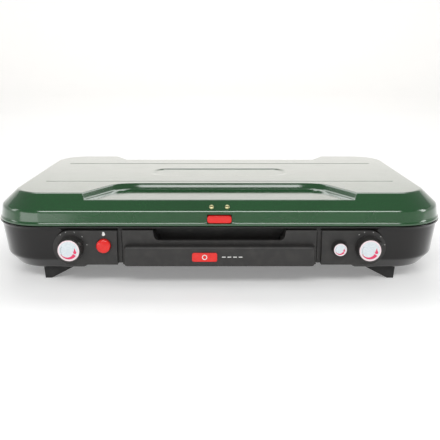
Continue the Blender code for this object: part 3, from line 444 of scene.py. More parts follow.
def wire(
    name: str, start: Sequence[float], end: Sequence[float], radius: float, sides: int = 12
) -> bpy.types.Object:
    """A straight wire with rounded ends."""
    run = Vector(end) - Vector(start)
    length = run.length
    nose = 0.45 * radius
    profile = [(0.55 * radius, 0.0), (0.88 * radius, 0.3 * nose), (radius, nose)]
    profile += [(r, length - along) for r, along in reversed(profile)]
    return turned(name, profile, start, run, sides)


def arc_points(before: Pair, corner: Pair, after: Pair, reach: float, steps: int) -> list[Pair]:
    """Points that round a corner of a section.

    Args:
        before: the section's point before the corner.
        corner: the corner.
        after: the section's point after it.
        reach: how far from the corner the rounding starts and ends.
        steps: how many facets it has.

    Returns:
        The points from the start of the rounding to its end.
    """
    corner_at = Vector(corner)
    near = corner_at + (Vector(before) - corner_at).normalized() * reach
    far = corner_at + (Vector(after) - corner_at).normalized() * reach
    points = []
    for k in range(steps + 1):
        t = k / steps
        point = (1 - t) ** 2 * near + 2 * t * (1 - t) * corner_at + t**2 * far
        points.append((point.x, point.y))
    return points


def spaced(*stretches: tuple[float, float, float]) -> list[float]:
    """Grid lines from stretches of (start, end, spacing), without the last one's end repeated.

    Args:
        stretches: each stretch starts where the one before ends.

    Returns:
        The lines in order.
    """
    lines: list[float] = []
    for start, end, spacing in stretches:
        count = max(1, round((end - start) / spacing))
        lines += [start + (end - start) * k / count for k in range(count)]
    return [*lines, stretches[-1][1]]


def mirrored(lines: Sequence[float]) -> list[float]:
    """Lines from zero outwards, continued on the other side of zero."""
    return [-line for line in reversed(lines[1:])] + list(lines)


def smooth_min(a: np.ndarray, b: np.ndarray, reach: float) -> np.ndarray:
    """The lower of two surfaces, blended where they cross over about the reach."""
    blend = np.clip(0.5 + 0.5 * (b - a) / reach, 0, 1)
    return b * (1 - blend) + a * blend - reach * blend * (1 - blend)


def smooth_max(a: np.ndarray, b: np.ndarray, reach: float) -> np.ndarray:
    """The higher of two surfaces, blended where they cross over about the reach."""
    return -smooth_min(-a, -b, reach)


def step_down(distance: np.ndarray, inner: float, outer: float) -> np.ndarray:
    """One inside the inner distance, none past the outer, and a smooth step between."""
    t = np.clip((distance - inner) / (outer - inner), 0, 1)
    return 1 - t * t * (3 - 2 * t)


# Colour and node helpers --------------------------------------------------------------------------------
def linear(code: str) -> tuple[float, float, float, float]:
    """Turns an sRGB hex colour into linear light."""
    values = [int(code[i : i + 2], 16) / 255 for i in (1, 3, 5)]
    red, green, blue = [v / 12.92 if v <= 0.04045 else ((v + 0.055) / 1.055) ** 2.4 for v in values]
    return red, green, blue, 1.0


class Graph:
    """A material's node tree with its Principled shader."""

    def __init__(self, name: str) -> None:
        """Starts a material with only the shader and the output."""
        self.material = bpy.data.materials.new(name)
        self.material.use_nodes = True
        self.tree = self.material.node_tree
        self.shader = self.tree.nodes["Principled BSDF"]

    def add(self, kind: str, inputs: dict | None = None, **settings: object) -> bpy.types.Node:
        """Adds a node with its settings, values and links.

        Args:
            kind: the node's type name without ShaderNode.
            inputs: values or sockets by input name or number.
            settings: the node's properties.

        Returns:
            The node.
        """
        node = self.tree.nodes.new("ShaderNode" + kind)
        for key, value in settings.items():
            setattr(node, key, value)
        for key, value in (inputs or {}).items():
            if isinstance(value, bpy.types.NodeSocket):
                self.tree.links.new(value, node.inputs[key])
            else:
                node.inputs[key].default_value = value
        return node

    def set(self, **values: object) -> None:
        """Sets or links the shader's sockets, with spaces written as underscores."""
        for key, value in values.items():
            socket = self.shader.inputs[key.replace("_", " ")]
            if isinstance(value, bpy.types.NodeSocket):
                self.tree.links.new(value, socket)
            else:
                socket.default_value = value

    def position(self, scale: Triple = (1, 1, 1), location: Triple = (0, 0, 0)) -> bpy.types.NodeSocket:
        """The place on the piece in metres, scaled and shifted."""
        where = self.add("TexCoord").outputs["Object"]
        return self.add("Mapping", {"Vector": where, "Scale": scale, "Location": location}).outputs[0]

    def grain(
        self, size_mm: float, detail: float = 3.0, stretch: Triple = (1, 1, 1)
    ) -> bpy.types.NodeSocket:
        """Noise whose blobs are about size_mm across."""
        rate = 1000.0 / size_mm
        where = self.position(stretch)
        return self.add("TexNoise", {"Vector": where, "Scale": rate, "Detail": detail}).outputs["Fac"]

    def ramp(self, value: bpy.types.NodeSocket, low: Pair, high: Pair) -> bpy.types.NodeSocket:
        """Maps a value from one range to another and clamps it."""
        inputs = {0: value, 1: low[0], 2: high[0], 3: low[1], 4: high[1]}
        return self.add("MapRange", inputs, clamp=True).outputs[0]

    def blend(
        self, amount: bpy.types.NodeSocket | float, first: object, second: object
    ) -> bpy.types.NodeSocket:
        """Mixes two colours."""
        return self.add("Mix", {0: amount, 6: first, 7: second}, data_type="RGBA").outputs[2]

    def bump(
        self, height: bpy.types.NodeSocket, depth_mm: float, strength: float = 1.0
    ) -> bpy.types.NodeSocket:
        """Turns a height into a surface normal."""
        inputs = {"Height": height, "Distance": depth_mm / 1000.0, "Strength": strength}
        return self.add("Bump", inputs).outputs[0]

    def maths(self, operation: str, first: object, second: object = 0.0) -> bpy.types.NodeSocket:
        """Arithmetic on two values."""
        return self.add("Math", {0: first, 1: second}, operation=operation).outputs[0]

    def product(self, first: object, second: object) -> bpy.types.NodeSocket:
        """One value times another."""
        return self.maths("MULTIPLY", first, second)


# Finishes -----------------------------------------------------------------------------------------------
@dataclass(frozen=True)
class Enamel:
    """Porcelain enamel, sprayed and fired on steel sheet: deep gloss with a faint orange peel."""

    name: str
    colour: str
    shade: str
    fleck: str
    roughness: float = 0.12
    coat_ior: float = 1.55
    coat_roughness: float = 0.10
    ior: float = 1.42
    peel_mm: float = 2.6
    peel_depth_mm: float = 0.010

    def build(self) -> bpy.types.Material:
        """Builds the material: slow colour drift from firing, fine flecks and orange peel in the coat."""
        g = Graph(self.name)
        drift = g.ramp(g.grain(160, 2), (0.35, 0.0), (0.65, 1.0))
        base = g.blend(drift, linear(self.colour), linear(self.shade))
        flecks = g.ramp(g.grain(0.9, 1), (0.62, 0.0), (0.78, 0.5))
        g.set(Base_Color=g.blend(flecks, base, linear(self.fleck)))
        # Handling leaves the gloss a little duller in broad soft patches.
        wear = g.ramp(g.grain(35, 4), (0.42, self.roughness), (0.72, self.roughness + 0.07))
        peel = g.bump(g.grain(self.peel_mm, 1), self.peel_depth_mm)
        g.set(Roughness=wear, IOR=self.ior, Normal=peel, Coat_Normal=peel)
        g.set(Coat_Weight=1.0, Coat_IOR=self.coat_ior, Coat_Roughness=self.coat_roughness)
        return g.material


@dataclass(frozen=True)
class Moulded:
    """Injection-moulded plastic: the mould's spark-eroded grain gives a fine even stipple."""

    name: str
    colour: str
    shade: str
    roughness: float
    grain_mm: float = 0.55
    grain_depth_mm: float = 0.03
    ior: float = 1.5

    def build(self) -> bpy.types.Material:
        """Builds the material: stippled bump, slight colour drift and rubbed patches."""
        g = Graph(self.name)
        rubbed = g.ramp(g.grain(14, 4), (0.45, 0.0), (0.75, 1.0))
        g.set(Base_Color=g.blend(rubbed, linear(self.colour), linear(self.shade)))
        g.set(Roughness=g.ramp(rubbed, (0.0, self.roughness), (1.0, self.roughness - 0.08)), IOR=self.ior)
        inputs = {"Vector": g.position(), "Scale": 1000 / self.grain_mm}
        stipple = g.add("TexVoronoi", inputs, feature="SMOOTH_F1")
        g.set(Normal=g.bump(stipple.outputs["Distance"], self.grain_depth_mm, 0.6))
        return g.material


@dataclass(frozen=True)
class Metal:
    """Bare or plated metal: tool or rolling marks along one direction, with duller handled patches."""

    name: str
    colour: str
    tarnish: str
    roughness: float
    grain_mm: float = 0.6
    stretch: Triple = (1.0, 1.0, 1.0)
    depth_mm: float = 0.01

    def build(self) -> bpy.types.Material:
        """Builds the material: tarnish in cloudy patches and streaks that vary the roughness."""
        g = Graph(self.name)
        cloud = g.ramp(g.grain(9, 4), (0.45, 0.0), (0.75, 0.8))
        g.set(Base_Color=g.blend(cloud, linear(self.colour), linear(self.tarnish)), Metallic=1.0)
        marks = g.grain(self.grain_mm, 2, self.stretch)
        g.set(Roughness=g.ramp(marks, (0.3, self.roughness - 0.06), (0.7, self.roughness + 0.08)))
        g.set(Normal=g.bump(marks, self.depth_mm))
        return g.material


@dataclass(frozen=True)
class DialFoil:
    """Hot-foiled plastic dial: silver field, a flame-level wedge printed round its lower half."""

    name: str
    centre: Triple
    radius: float
    silver: str = "#DCE2E5"
    brushed: str = "#C6D0D6"
    wedge: str = "#D8325F"
    rim: str = "#EBD8DB"
    hair: str = "#8D969C"
    soft: float = 0.012
    wedge_turns: Pair = (-2.75, -0.62)
    hair_from: float = 2.55
    rim_from: float = 0.885

    def build(self) -> bpy.types.Material:
        """Builds the material from the distance and angle about the dial's centre."""
        g = Graph(self.name)
        per = 1.0 / self.radius
        x, _, z = self.centre
        spot = g.position((per, per, per), (-x * per, 0.0, -z * per))
        axes = g.add("SeparateXYZ", {0: spot})
        across, up = axes.outputs["X"], axes.outputs["Z"]
        out = g.maths("SQRT", g.maths("ADD", g.product(across, across), g.product(up, up)))
        turn = g.maths("ARCTAN2", up, across)
        streaks = g.grain(0.5, 2, (0.2, 1.0, 1.0))
        brushing = g.ramp(streaks, (0.35, 0.0), (0.65, 1.0))
        colour = g.blend(brushing, linear(self.silver), linear(self.brushed))
        # The wedge starts as a hair line at eight o'clock and is widest at four o'clock.
        first, last = self.wedge_turns
        inner = g.ramp(g.ramp(turn, (first, 0.0), (-0.75, 1.0)), (0.0, 0.79), (1.0, 0.50))
        reach = g.product(self.over(g, turn, first), self.under(g, turn, last))
        wedge = g.product(self.band(g, out, inner, 0.82), reach)
        colour = g.blend(wedge, colour, linear(self.wedge))
        colour = g.blend(self.flame(g, across, up), colour, linear(self.wedge))
        colour = g.blend(self.over(g, out, self.rim_from), colour, linear(self.rim))
        left = self.over(g, g.maths("ABSOLUTE", turn), self.hair_from)
        hair = g.product(self.band(g, out, 0.70, 0.76), left)
        colour = g.blend(g.product(hair, 0.6), colour, linear(self.hair))
        g.set(Base_Color=colour, Roughness=0.34, Metallic=0.25, Coat_Weight=0.35, Coat_Roughness=0.15)
        g.set(Normal=g.bump(streaks, 0.004))
        return g.material

    def over(self, g: Graph, value: object, edge: float) -> bpy.types.NodeSocket:
        """One where the value is above the edge."""
        return g.ramp(value, (edge - self.soft, 0.0), (edge + self.soft, 1.0))

    def under(self, g: Graph, value: object, edge: float) -> bpy.types.NodeSocket:
        """One where the value is below the edge."""
        return g.ramp(value, (edge - self.soft, 1.0), (edge + self.soft, 0.0))

    def band(self, g: Graph, value: object, low: object, high: float) -> bpy.types.NodeSocket:
        """One where the value lies between two edges. The low edge may be a socket."""
        above = self.over(g, g.maths("SUBTRACT", value, low), 0.0)
        return g.product(above, self.under(g, value, high))

    def flame(self, g: Graph, across: object, up: object) -> bpy.types.NodeSocket:
        """A small flame mark at three o'clock: a round foot under a narrowing tip."""
        rise = g.maths("SUBTRACT", up, -0.16)
        half = g.ramp(rise, (-0.02, 0.15), (0.46, 0.0))
        side = g.maths("ABSOLUTE", g.maths("SUBTRACT", across, 0.58))
        tip = g.ramp(g.maths("SUBTRACT", half, side), (0.0, 0.0), (0.02, 1.0))
        tip = g.product(tip, self.over(g, rise, 0.0))
        low = g.maths("ADD", g.product(side, side), g.product(rise, rise))
        foot = g.ramp(low, (0.020, 1.0), (0.027, 0.0))
        return g.maths("MAXIMUM", tip, foot)


def finishes() -> dict[str, bpy.types.Material]:
    """Builds every shared material.

    Returns:
        The materials by the record's slot name, and a few that only small pieces use.
    """
    looks = [
        # Green porcelain enamel on pressed steel.
        ("green_enamel", Enamel("Green porcelain enamel", "#0D411A", "#11481F", "#225C34")),
        # Black porcelain enamel, a touch brown where it is thin.
        ("black_enamel", Enamel(
            "Black porcelain enamel", "#100F0F", "#161413", "#1F1C1A",
            roughness=0.13, coat_ior=1.33, coat_roughness=0.05, ior=1.25,
        )),
        # Glass-filled nylon, textured mould.
        ("black_moulding", Moulded("Black glass-filled nylon", "#262524", "#302E2C", 0.50)),
        # Polished ABS, which shows crisp lights.
        ("scarlet_plastic", Moulded("Polished scarlet ABS", "#D8201C", "#E02A22", 0.20, 0.9, 0.004)),
        # Rubber is dull all over, with the mould's coarse grain.
        ("black_rubber", Moulded("Moulded black rubber", "#1B1B1B", "#242322", 0.72, 0.8, 0.05)),
        # A thin glaze leaves the fired body's faint waves under a clear gloss.
        ("white_ceramic", Moulded("Glazed alumina ceramic", "#DEDBD0", "#CFCABB", 0.24, 1.2, 0.01)),
        # Printed ink lies almost flat on the moulding.
        ("pad_print", Moulded("White pad print ink", "#D9D9D6", "#CFCFCC", 0.45, 0.4, 0.004)),
        # Zinc plate dulls to a soft grey with rolling marks.
        ("zinc_plated_steel", Metal(
            "Zinc-plated steel", "#BFC1BE", "#9A9B93", 0.32, 0.7, stretch=(1.0, 0.15, 1.0)
        )),
        # Drawn wire keeps long streaks along its length under bright plate.
        ("chromed_wire", Metal(
            "Bright-plated steel wire", "#D4D4D2", "#A9A59C", 0.16, 0.9, stretch=(1.0, 0.1, 1.0)
        )),
        # A dark phosphate coat keeps the spring steel from rusting.
        ("phosphated_steel", Metal("Phosphated spring steel", "#3A3937", "#2A2928", 0.45, 0.8)),
        # Turned brass shows fine tool marks.
        ("brass", Metal("Machined brass", "#C9A560", "#9A7A3E", 0.28, 0.4)),
        # Yellow chromate over zinc has a pale straw tint.
        ("yellow_zinc", Metal("Yellow-passivated zinc plate", "#D6D2A4", "#B3AC7A", 0.30, 0.5)),
        # Die-cast aluminium keeps a sandy skin.
        ("cast_aluminium", Metal("Die-cast aluminium", "#9C9B98", "#6F6C66", 0.50, 0.8, depth_mm=0.04)),
    ]
    return {slot: look.build() for slot, look in looks}


class Dresser:
    """Gives finished pieces their finish and their body, and hides the CAD nodes that they replace."""

    def __init__(self, frame: dict) -> None:
        """Builds the finishes.

        Args:
            frame: what the frame's load gave.
        """
        self.nodes = frame["nodes"]
        self.looks = finishes()

    def dress(
        self, piece: bpy.types.Object, look: str | bpy.types.Material, body: Body,
        stands_for: Sequence[str] = (),
    ) -> bpy.types.Object:
        """Finishes one piece.

        Args:
            piece: the modelled piece.
            look: a finish's name, or a material of the piece's own.
            body: the body that carries it.
            stands_for: CAD nodes that it replaces.

        Returns:
            The piece.
        """
        material = self.looks[look] if isinstance(look, str) else look
        piece.data.materials.clear()
        piece.data.materials.append(material)
        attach(piece, body.value)
        if stands_for:
            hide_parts(*stands_for)
        LOG.info("%s: %d faces on %s", piece.name, len(piece.data.polygons), body.value)
        return piece

    def coat_node(self, look: str, *names: str) -> None:
        """Puts a finish on CAD nodes that are shown as they are.

        Args:
            look: the finish's name.
            names: the nodes.
        """
        for name in names:
            node = self.nodes[name]
            if not node.material_slots:
                node.data.materials.append(self.looks[look])
            for place in node.material_slots:
                place.material = self.looks[look]


# Sheet pressing -----------------------------------------------------------------------------------------
def reshape(piece: bpy.types.Object, press: Callable[[np.ndarray], np.ndarray]) -> None:
    """Presses a sheet: every vertex goes to where the die sends it.

    Args:
        piece: the sheet.
        press: takes and returns an array of points.
    """
    points = np.empty(len(piece.data.vertices) * 3)
    piece.data.vertices.foreach_get("co", points)
    pressed = press(points.reshape(-1, 3))
    piece.data.vertices.foreach_set("co", pressed.reshape(-1))
    piece.data.update()


def sheet_blank(
    name: str, outline: Outline, height: float, xs: Sequence[float], ys: Sequence[float]
) -> bpy.types.Object:
    """A flat blank whose grid lines follow an outline with rounded corners.

    Args:
        name: the new sheet's name.
        outline: the blank's outline.
        height: world z of the blank.
        xs: grid lines from the middle to the right-hand edge.
        ys: grid lines from the middle line to the back edge.

    Returns:
        The blank, with its normals up.
    """
    across, along = np.array(mirrored(xs)), np.array(mirrored(ys))
    deselect()
    bpy.ops.mesh.primitive_grid_add(x_subdivisions=len(across) - 1, y_subdivisions=len(along) - 1, size=2)
    piece = fresh(name)
    core_x, core_y = outline.core

    def lay(points: np.ndarray) -> np.ndarray:
        """Spreads the even grid over the uneven lines and rounds the corners."""
        x = across[np.rint((points[:, 0] + 1) / 2 * (len(across) - 1)).astype(int)]
        y = along[np.rint((points[:, 1] + 1) / 2 * (len(along) - 1)).astype(int)]
        u = np.maximum(np.abs(x) - core_x, 0) / outline.radius
        v = np.maximum(np.abs(y) - core_y, 0) / outline.radius
        round_x = np.sign(x) * (core_x + outline.radius * u * np.sqrt(1 - v * v / 2))
        round_y = np.sign(y) * (core_y + outline.radius * v * np.sqrt(1 - u * u / 2))
        x = np.where(u > 0, round_x, x)
        y = np.where(v > 0, round_y, y) + outline.middle
        return np.stack([x, y, np.full(len(x), height)], axis=1)

    reshape(piece, lay)
    return piece


def draw_rings(piece: bpy.types.Object, start: Outline, rings: Sequence[tuple[Outline, float]]) -> None:
    """Draws a sheet's edge on, ring by ring.

    Args:
        piece: the sheet.
        start: the outline of its edge so far.
        rings: each new ring's outline and world z.
    """
    with editing(piece):
        pick(Pick.EDGE, lambda edge: edge.is_boundary)
        here = start
        for outline, height in rings:
            bpy.ops.mesh.extrude_region_move()
            place_selected(
                lambda p, here=here, outline=outline, height=height: Vector(
                    (*here.carried_to(outline, p.x, p.y), height)
                )
            )
            here = outline


def trimmed(piece: bpy.types.Object, rule: Callable[[Vector], bool]) -> None:
    """Takes out the faces whose middle passes the rule."""
    with editing(piece):
        if pick(Pick.FACE, lambda face: rule(face.calc_center_median())):
            bpy.ops.mesh.delete(type="FACE")


def thickened(piece: bpy.types.Object, thickness: float, flip: bool = False) -> bpy.types.Object:
    """Gives a sheet its thickness behind its outer face and smooths it."""
    with editing(piece):
        bpy.ops.mesh.select_all(action="SELECT")
        if flip:
            bpy.ops.mesh.flip_normals()
    apply(piece, "SOLIDIFY", thickness=thickness, offset=-1.0, use_even_offset=True, thickness_clamp=1.2)
    take(piece)
    bpy.ops.object.shade_smooth_by_angle(angle=math.radians(48), keep_sharp_edges=False)
    return piece


# Lid ----------------------------------------------------------------------------------------------------
@dataclass
class Lid:
    """Pressed steel lid: sloping shoulders, a scallop at the front and back, grooves and a plain recess."""

    stove: Stove
    ridge: Pair = (0.0040, 0.0225)
    top_inset: float = 0.0295
    bend: float = 0.0035
    hem: float = 0.0010
    scallop_drop: float = 0.0087
    scallop_reach: float = 0.1064
    scallop_half: float = 0.1702
    scallop_rake: float = 0.57
    scallop_lean: float = 0.0050
    flank_ease: float = 0.50
    flank_band: Pair = (0.155, 0.177)
    flank_fade: Pair = (0.100, 0.272)
    groove_half: float = 0.2930
    groove_offset: float = 0.0890
    groove_depth: float = 0.0021
    plate: Triple = (0.118, 0.035, 0.0245)
    plate_depth: float = 0.0013
    window: Triple = (0.0188, 0.0043, 0.0177)
    wall_rings: Triple = (0.0140, 0.0100, 0.0070)
    blank_inset: float = 0.0345

    @property
    def rise(self) -> float:
        """Height of the lid's top above the seam."""
        return self.stove.top - self.stove.seam

    def profile(self) -> list[Pair]:
        """(inset, height above the seam) from the flat top down the shoulder to the hem."""
        hem = self.hem
        wall_foot = (1.3 * hem, 3.8 * hem)
        shoulder = (self.top_inset, self.rise)
        start = (self.top_inset + self.bend, self.rise)
        top = arc_points(start, shoulder, self.ridge, self.bend, 6)
        ridge = arc_points(shoulder, self.ridge, wall_foot, self.bend, 8)
        slope = [self.along(top[-1], ridge[0], k / 12) for k in range(1, 12)]
        heights = (self.window[2], *self.wall_rings, self.window[1])
        wall = [self.at_height(ridge[-1], wall_foot, z) for z in heights]
        bead = arc_points(wall[-1], (0.1 * hem, 3.4 * hem), (0.0, 1.9 * hem), 0.6 * hem, 4)
        curl = arc_points((0.0, 1.9 * hem), (0.0, 0.3 * hem), (0.9 * hem, 0.3 * hem), 0.8 * hem, 4)
        return [*top, *slope, *ridge, *wall, *bead, *curl]

    @staticmethod
    def along(start: Pair, end: Pair, share: float) -> Pair:
        """A point part of the way along a line."""
        return start[0] + (end[0] - start[0]) * share, start[1] + (end[1] - start[1]) * share

    def at_height(self, start: Pair, end: Pair, height: float) -> Pair:
        """The point of a line at a height."""
        return self.along(start, end, (start[1] - height) / (start[1] - end[1]))

    def scallop(self, x: np.ndarray, depth: np.ndarray) -> np.ndarray:
        """The height of one scallop's die.

        Args:
            x: the points' x.
            depth: how far the points lie behind the hem on the scallop's side.

        Returns:
            Heights above the seam.
        """
        back = self.scallop_reach - depth
        flank = self.scallop_half + self.scallop_rake * back - np.abs(x)
        inside = smooth_min(back, flank * self.flank_ease, 0.017)
        wall = self.rise - self.scallop_drop / self.scallop_lean * inside
        return smooth_max(wall, np.full(len(x), self.rise - self.scallop_drop), 0.0014)

    def slant(self, points: np.ndarray) -> np.ndarray:
        """Leans the grid's lines over, so that they run along the scallops' raked ends."""
        x, y = np.abs(points[:, 0]), points[:, 1]
        depth = np.minimum(y - self.stove.front, self.stove.back - y)
        inner, outer = self.flank_fade
        first, last = self.flank_band
        share = np.minimum((x - inner) / (first - inner), (outer - x) / (outer - last))
        shift = self.scallop_rake * np.maximum(self.scallop_reach - depth, 0) * np.clip(share, 0, 1)
        leaned = points.copy()
        leaned[:, 0] = np.sign(points[:, 0]) * (x + shift)
        return leaned

    def press(self, points: np.ndarray) -> np.ndarray:
        """Lowers the grid into the scallops, the grooves and the recess."""
        stove = self.stove
        x, y = points[:, 0], points[:, 1]
        height = points[:, 2] - stove.seam
        upper = height > self.ridge[1]
        for depth in (y - stove.front, stove.back - y):
            height = np.where(upper, smooth_min(height, self.scallop(x, depth), 0.0010), height)
        flat = step_down(self.rise - height, 0.0002, 0.0012)
        across = np.abs(np.abs(y - stove.middle) - self.groove_offset)
        length = step_down(np.abs(x), self.groove_half - 0.003, self.groove_half)
        height = height - self.groove_depth * step_down(across, 0.0009, 0.0021) * length * flat
        recess = Outline(*self.plate, stove.middle).inset_of(x, y)
        height = height - self.plate_depth * (1 - step_down(recess, -0.0004, 0.0024)) * flat
        return np.stack([x, y, height + stove.seam], axis=1)

    def shell(self) -> bpy.types.Object:
        """Models the pressed shell with its latch window."""
        stove = self.stove
        start = stove.outline(self.blank_inset)
        half, flank = self.window[0], self.flank_band
        xs = spaced(
            (0, half, 0.0063), (half, 0.092, 0.0073), (0.092, 0.122, 0.0025), (0.122, flank[0], 0.005),
            (flank[0], flank[1], 0.0010), (flank[1], 0.286, 0.005), (0.286, 0.296, 0.0014),
            (0.296, start.half_x, 0.006),
        )
        groove = self.groove_offset
        ys = spaced(
            (0, 0.030, 0.006), (0.030, 0.038, 0.0013), (0.038, groove - 0.0035, 0.006),
            (groove - 0.0035, groove + 0.0035, 0.0007), (groove + 0.0035, 0.1035, 0.0035),
            (0.1035, 0.1130, 0.0009), (0.1130, start.half_y, 0.0042),
        )
        lid = sheet_blank("Lid shell", start, stove.top, xs, ys)
        rings = [(stove.outline(inset), stove.seam + height) for inset, height in self.profile()]
        draw_rings(lid, start, rings)
        low, high = stove.seam + self.window[1], stove.seam + self.window[2]
        trimmed(lid, lambda p: abs(p.x) < half and low < p.z < high and p.y < stove.front + 0.02)
        reshape(lid, self.slant)
        reshape(lid, self.press)
        return thickened(lid, stove.sheet)

    def build(self, dresser: Dresser) -> None:
        """Models and dresses the lid."""
        dresser.dress(self.shell(), "green_enamel", Body.LID, ["lid_shell"])


# Base ---------------------------------------------------------------------------------------------------
@dataclass
class BasePan:
    """Drawn steel pan: flanged rim, drafted wall, chamfer and a floor that is raised in the middle."""

    stove: Stove
    wall_top: Pair = (0.0018, -0.0038)
    wall_foot: Pair = (0.0078, -0.0545)
    floor_edge: Pair = (0.0240, -0.0735)
    bend: float = 0.0040
    flange: Triple = (-0.0010, -0.0006, -0.0030)
    lip: Pair = (0.0040, 0.0022)
    raised_half: float = 0.2010
    raised_slant: float = 0.0130
    raised_height: float = -0.0625
    pocket_half: float = 0.1068
    pocket_heights: Pair = (-0.0562, -0.0048)
    port_radius: float = 0.0150
    blank_inset: float = 0.0340

    def profile(self) -> list[Pair]:
        """(inset, height above the seam) from the floor's edge up the wall and over the rim."""
        out, high, low = self.flange
        start = (self.blank_inset, self.floor_edge[1])
        floor = arc_points(start, self.floor_edge, self.wall_foot, self.bend, 6)
        foot = arc_points(self.floor_edge, self.wall_foot, self.wall_top, self.bend, 6)
        chamfer = [Lid.along(floor[-1], foot[0], k / 7) for k in range(1, 7)]
        wall = [Lid.along(foot[-1], self.wall_top, k / 13) for k in range(1, 13)]
        rim = [self.wall_top, (0.0010, low), (out + 0.0003, low), (out, low + 0.0004), (out, high - 0.0004)]
        rim += [(out + 0.0004, high), (self.lip[0] - 0.0004, high), (self.lip[0], high + 0.0004), self.lip]
        return [*floor, *chamfer, *foot, *wall, *rim]

    def press(self, points: np.ndarray) -> np.ndarray:
        """Lifts the middle of the floor, right through the front and rear chamfers."""
        x, height = points[:, 0], points[:, 2] - self.stove.seam
        slope = (self.raised_height - self.floor_edge[1]) / self.raised_slant
        raised = self.raised_height - slope * np.maximum(np.abs(x) - self.raised_half, 0)
        lifted = smooth_max(height, np.maximum(raised, height - 0.001), 0.0022)
        low = height < self.raised_height + 0.006
        return np.stack([x, points[:, 1], np.where(low, lifted, height) + self.stove.seam], axis=1)

    def punch_port(self, pan: bpy.types.Object) -> None:
        """Punches the round port for the gas inlet in the right-hand wall."""
        middle, _ = place_of("gas_inlet")
        radius = self.port_radius
        end_wall = self.stove.half_width - 0.025

        def off(point: Vector) -> float:
            """Distance from the port's axis."""
            return math.hypot(point.y - middle.y, point.z - middle.z)

        trimmed(pan, lambda p: p.x > end_wall and off(p) < radius)
        with editing(pan):
            pick(Pick.VERT, lambda v: v.is_boundary and v.co.x > end_wall and off(v.co) < 1.5 * radius)

            def to_circle(p: Vector) -> Vector:
                """Slides a point of the torn edge on to the circle."""
                hub = Vector((p.x, middle.y, middle.z))
                return hub + (p - hub) * (radius / off(p))

            place_selected(to_circle)

    def shell(self) -> bpy.types.Object:
        """Models the pan."""
        stove = self.stove
        start = stove.outline(self.blank_inset)
        slant = self.raised_half + self.raised_slant
        xs = spaced(
            (0, self.pocket_half, 0.0089), (self.pocket_half, self.raised_half - 0.003, 0.0085),
            (self.raised_half - 0.003, slant + 0.003, 0.0019), (slant + 0.003, start.half_x, 0.0065),
        )
        ys = spaced((0, 0.045, 0.0030), (0.045, start.half_y, 0.0070))
        pan = sheet_blank("Base pan", start, stove.seam + self.floor_edge[1], xs, ys)
        draw_rings(pan, start, [(stove.outline(inset), stove.seam + z) for inset, z in self.profile()])
        low, high = (stove.seam + z for z in self.pocket_heights)
        near = stove.front + 0.012
        trimmed(pan, lambda p: abs(p.x) < self.pocket_half and low < p.z < high and p.y < near)
        self.punch_port(pan)
        reshape(pan, self.press)
        return thickened(pan, stove.sheet, flip=True)

    def build(self, dresser: Dresser) -> None:
        """Models and dresses the pan."""
        dresser.dress(self.shell(), "black_enamel", Body.BASE, ["base_pan"])


@dataclass
class Cooktop:
    """Enamelled cooktop: a flat rim round a deep well, with a raised drip ring about each burner."""

    stove: Stove
    rim_inset: float = 0.0055
    well: Triple = (0.3210, 0.1615, 0.0450)
    middle: float = 0.0265
    slope: float = 0.0050
    bend: float = 0.0060
    drip_gap: float = 0.0150
    drip_height: float = 0.0012
    bead_offset: float = 0.1080
    bead_half: float = 0.2560
    burner_height: float = 0.0138

    def well_outline(self, inset: float) -> Outline:
        """The well's outline moved inwards by an inset."""
        half_x, half_y, radius = self.well
        return Outline(half_x - inset, half_y - inset, radius - inset, self.middle)

    def press(self, points: np.ndarray) -> np.ndarray:
        """Raises the drip rings and two long stiffening beads in the well's floor."""
        x, y, z = points[:, 0], points[:, 1], points[:, 2]
        lift = np.zeros(len(x))
        for node in ("burner_left", "burner_centre", "burner_right"):
            middle, half = place_of(node)
            ring = np.hypot(x - middle.x, y - middle.y) - half.x
            lift = np.maximum(lift, step_down(np.abs(ring - self.drip_gap), 0.0006, 0.0042))
        bead = step_down(np.abs(np.abs(y - self.middle) - self.bead_offset), 0.001, 0.005)
        lift = np.maximum(lift, bead * step_down(np.abs(x), self.bead_half - 0.006, self.bead_half))
        lift = lift * (z < z.min() + 0.0005)
        return np.stack([x, y, z + self.drip_height * lift], axis=1)

    def sheet(self) -> bpy.types.Object:
        """Models the cooktop."""
        stove = self.stove
        rim_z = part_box("cooktop")[1].z
        floor_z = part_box("burner_left")[1].z - self.burner_height
        start = self.well_outline(self.slope + 0.018)
        core = start.core
        xs = spaced((0, core[0], 0.0042), (core[0], start.half_x, 0.005))
        ys = spaced((0, core[1], 0.0042), (core[1], start.half_y, 0.005))
        top = sheet_blank("Cooktop", start, floor_z, xs, ys)
        floor = arc_points((self.slope + 0.02, floor_z), (self.slope, floor_z), (0, rim_z), self.bend, 6)
        lip = arc_points((self.slope, floor_z), (0, rim_z), (-0.02, rim_z), 0.0035, 5)
        rings = [(self.well_outline(inset), z) for inset, z in floor + lip]
        edge = [(0.0006, rim_z), (0.0001, rim_z - 0.0003)]
        rings += [(stove.outline(self.rim_inset + more), z) for more, z in edge]
        draw_rings(top, start, rings)
        reshape(top, self.press)
        return thickened(top, stove.sheet * 0.72)

    def build(self, dresser: Dresser) -> None:
        """Models and dresses the cooktop."""
        dresser.dress(self.sheet(), "black_enamel", Body.BASE, ["cooktop"])


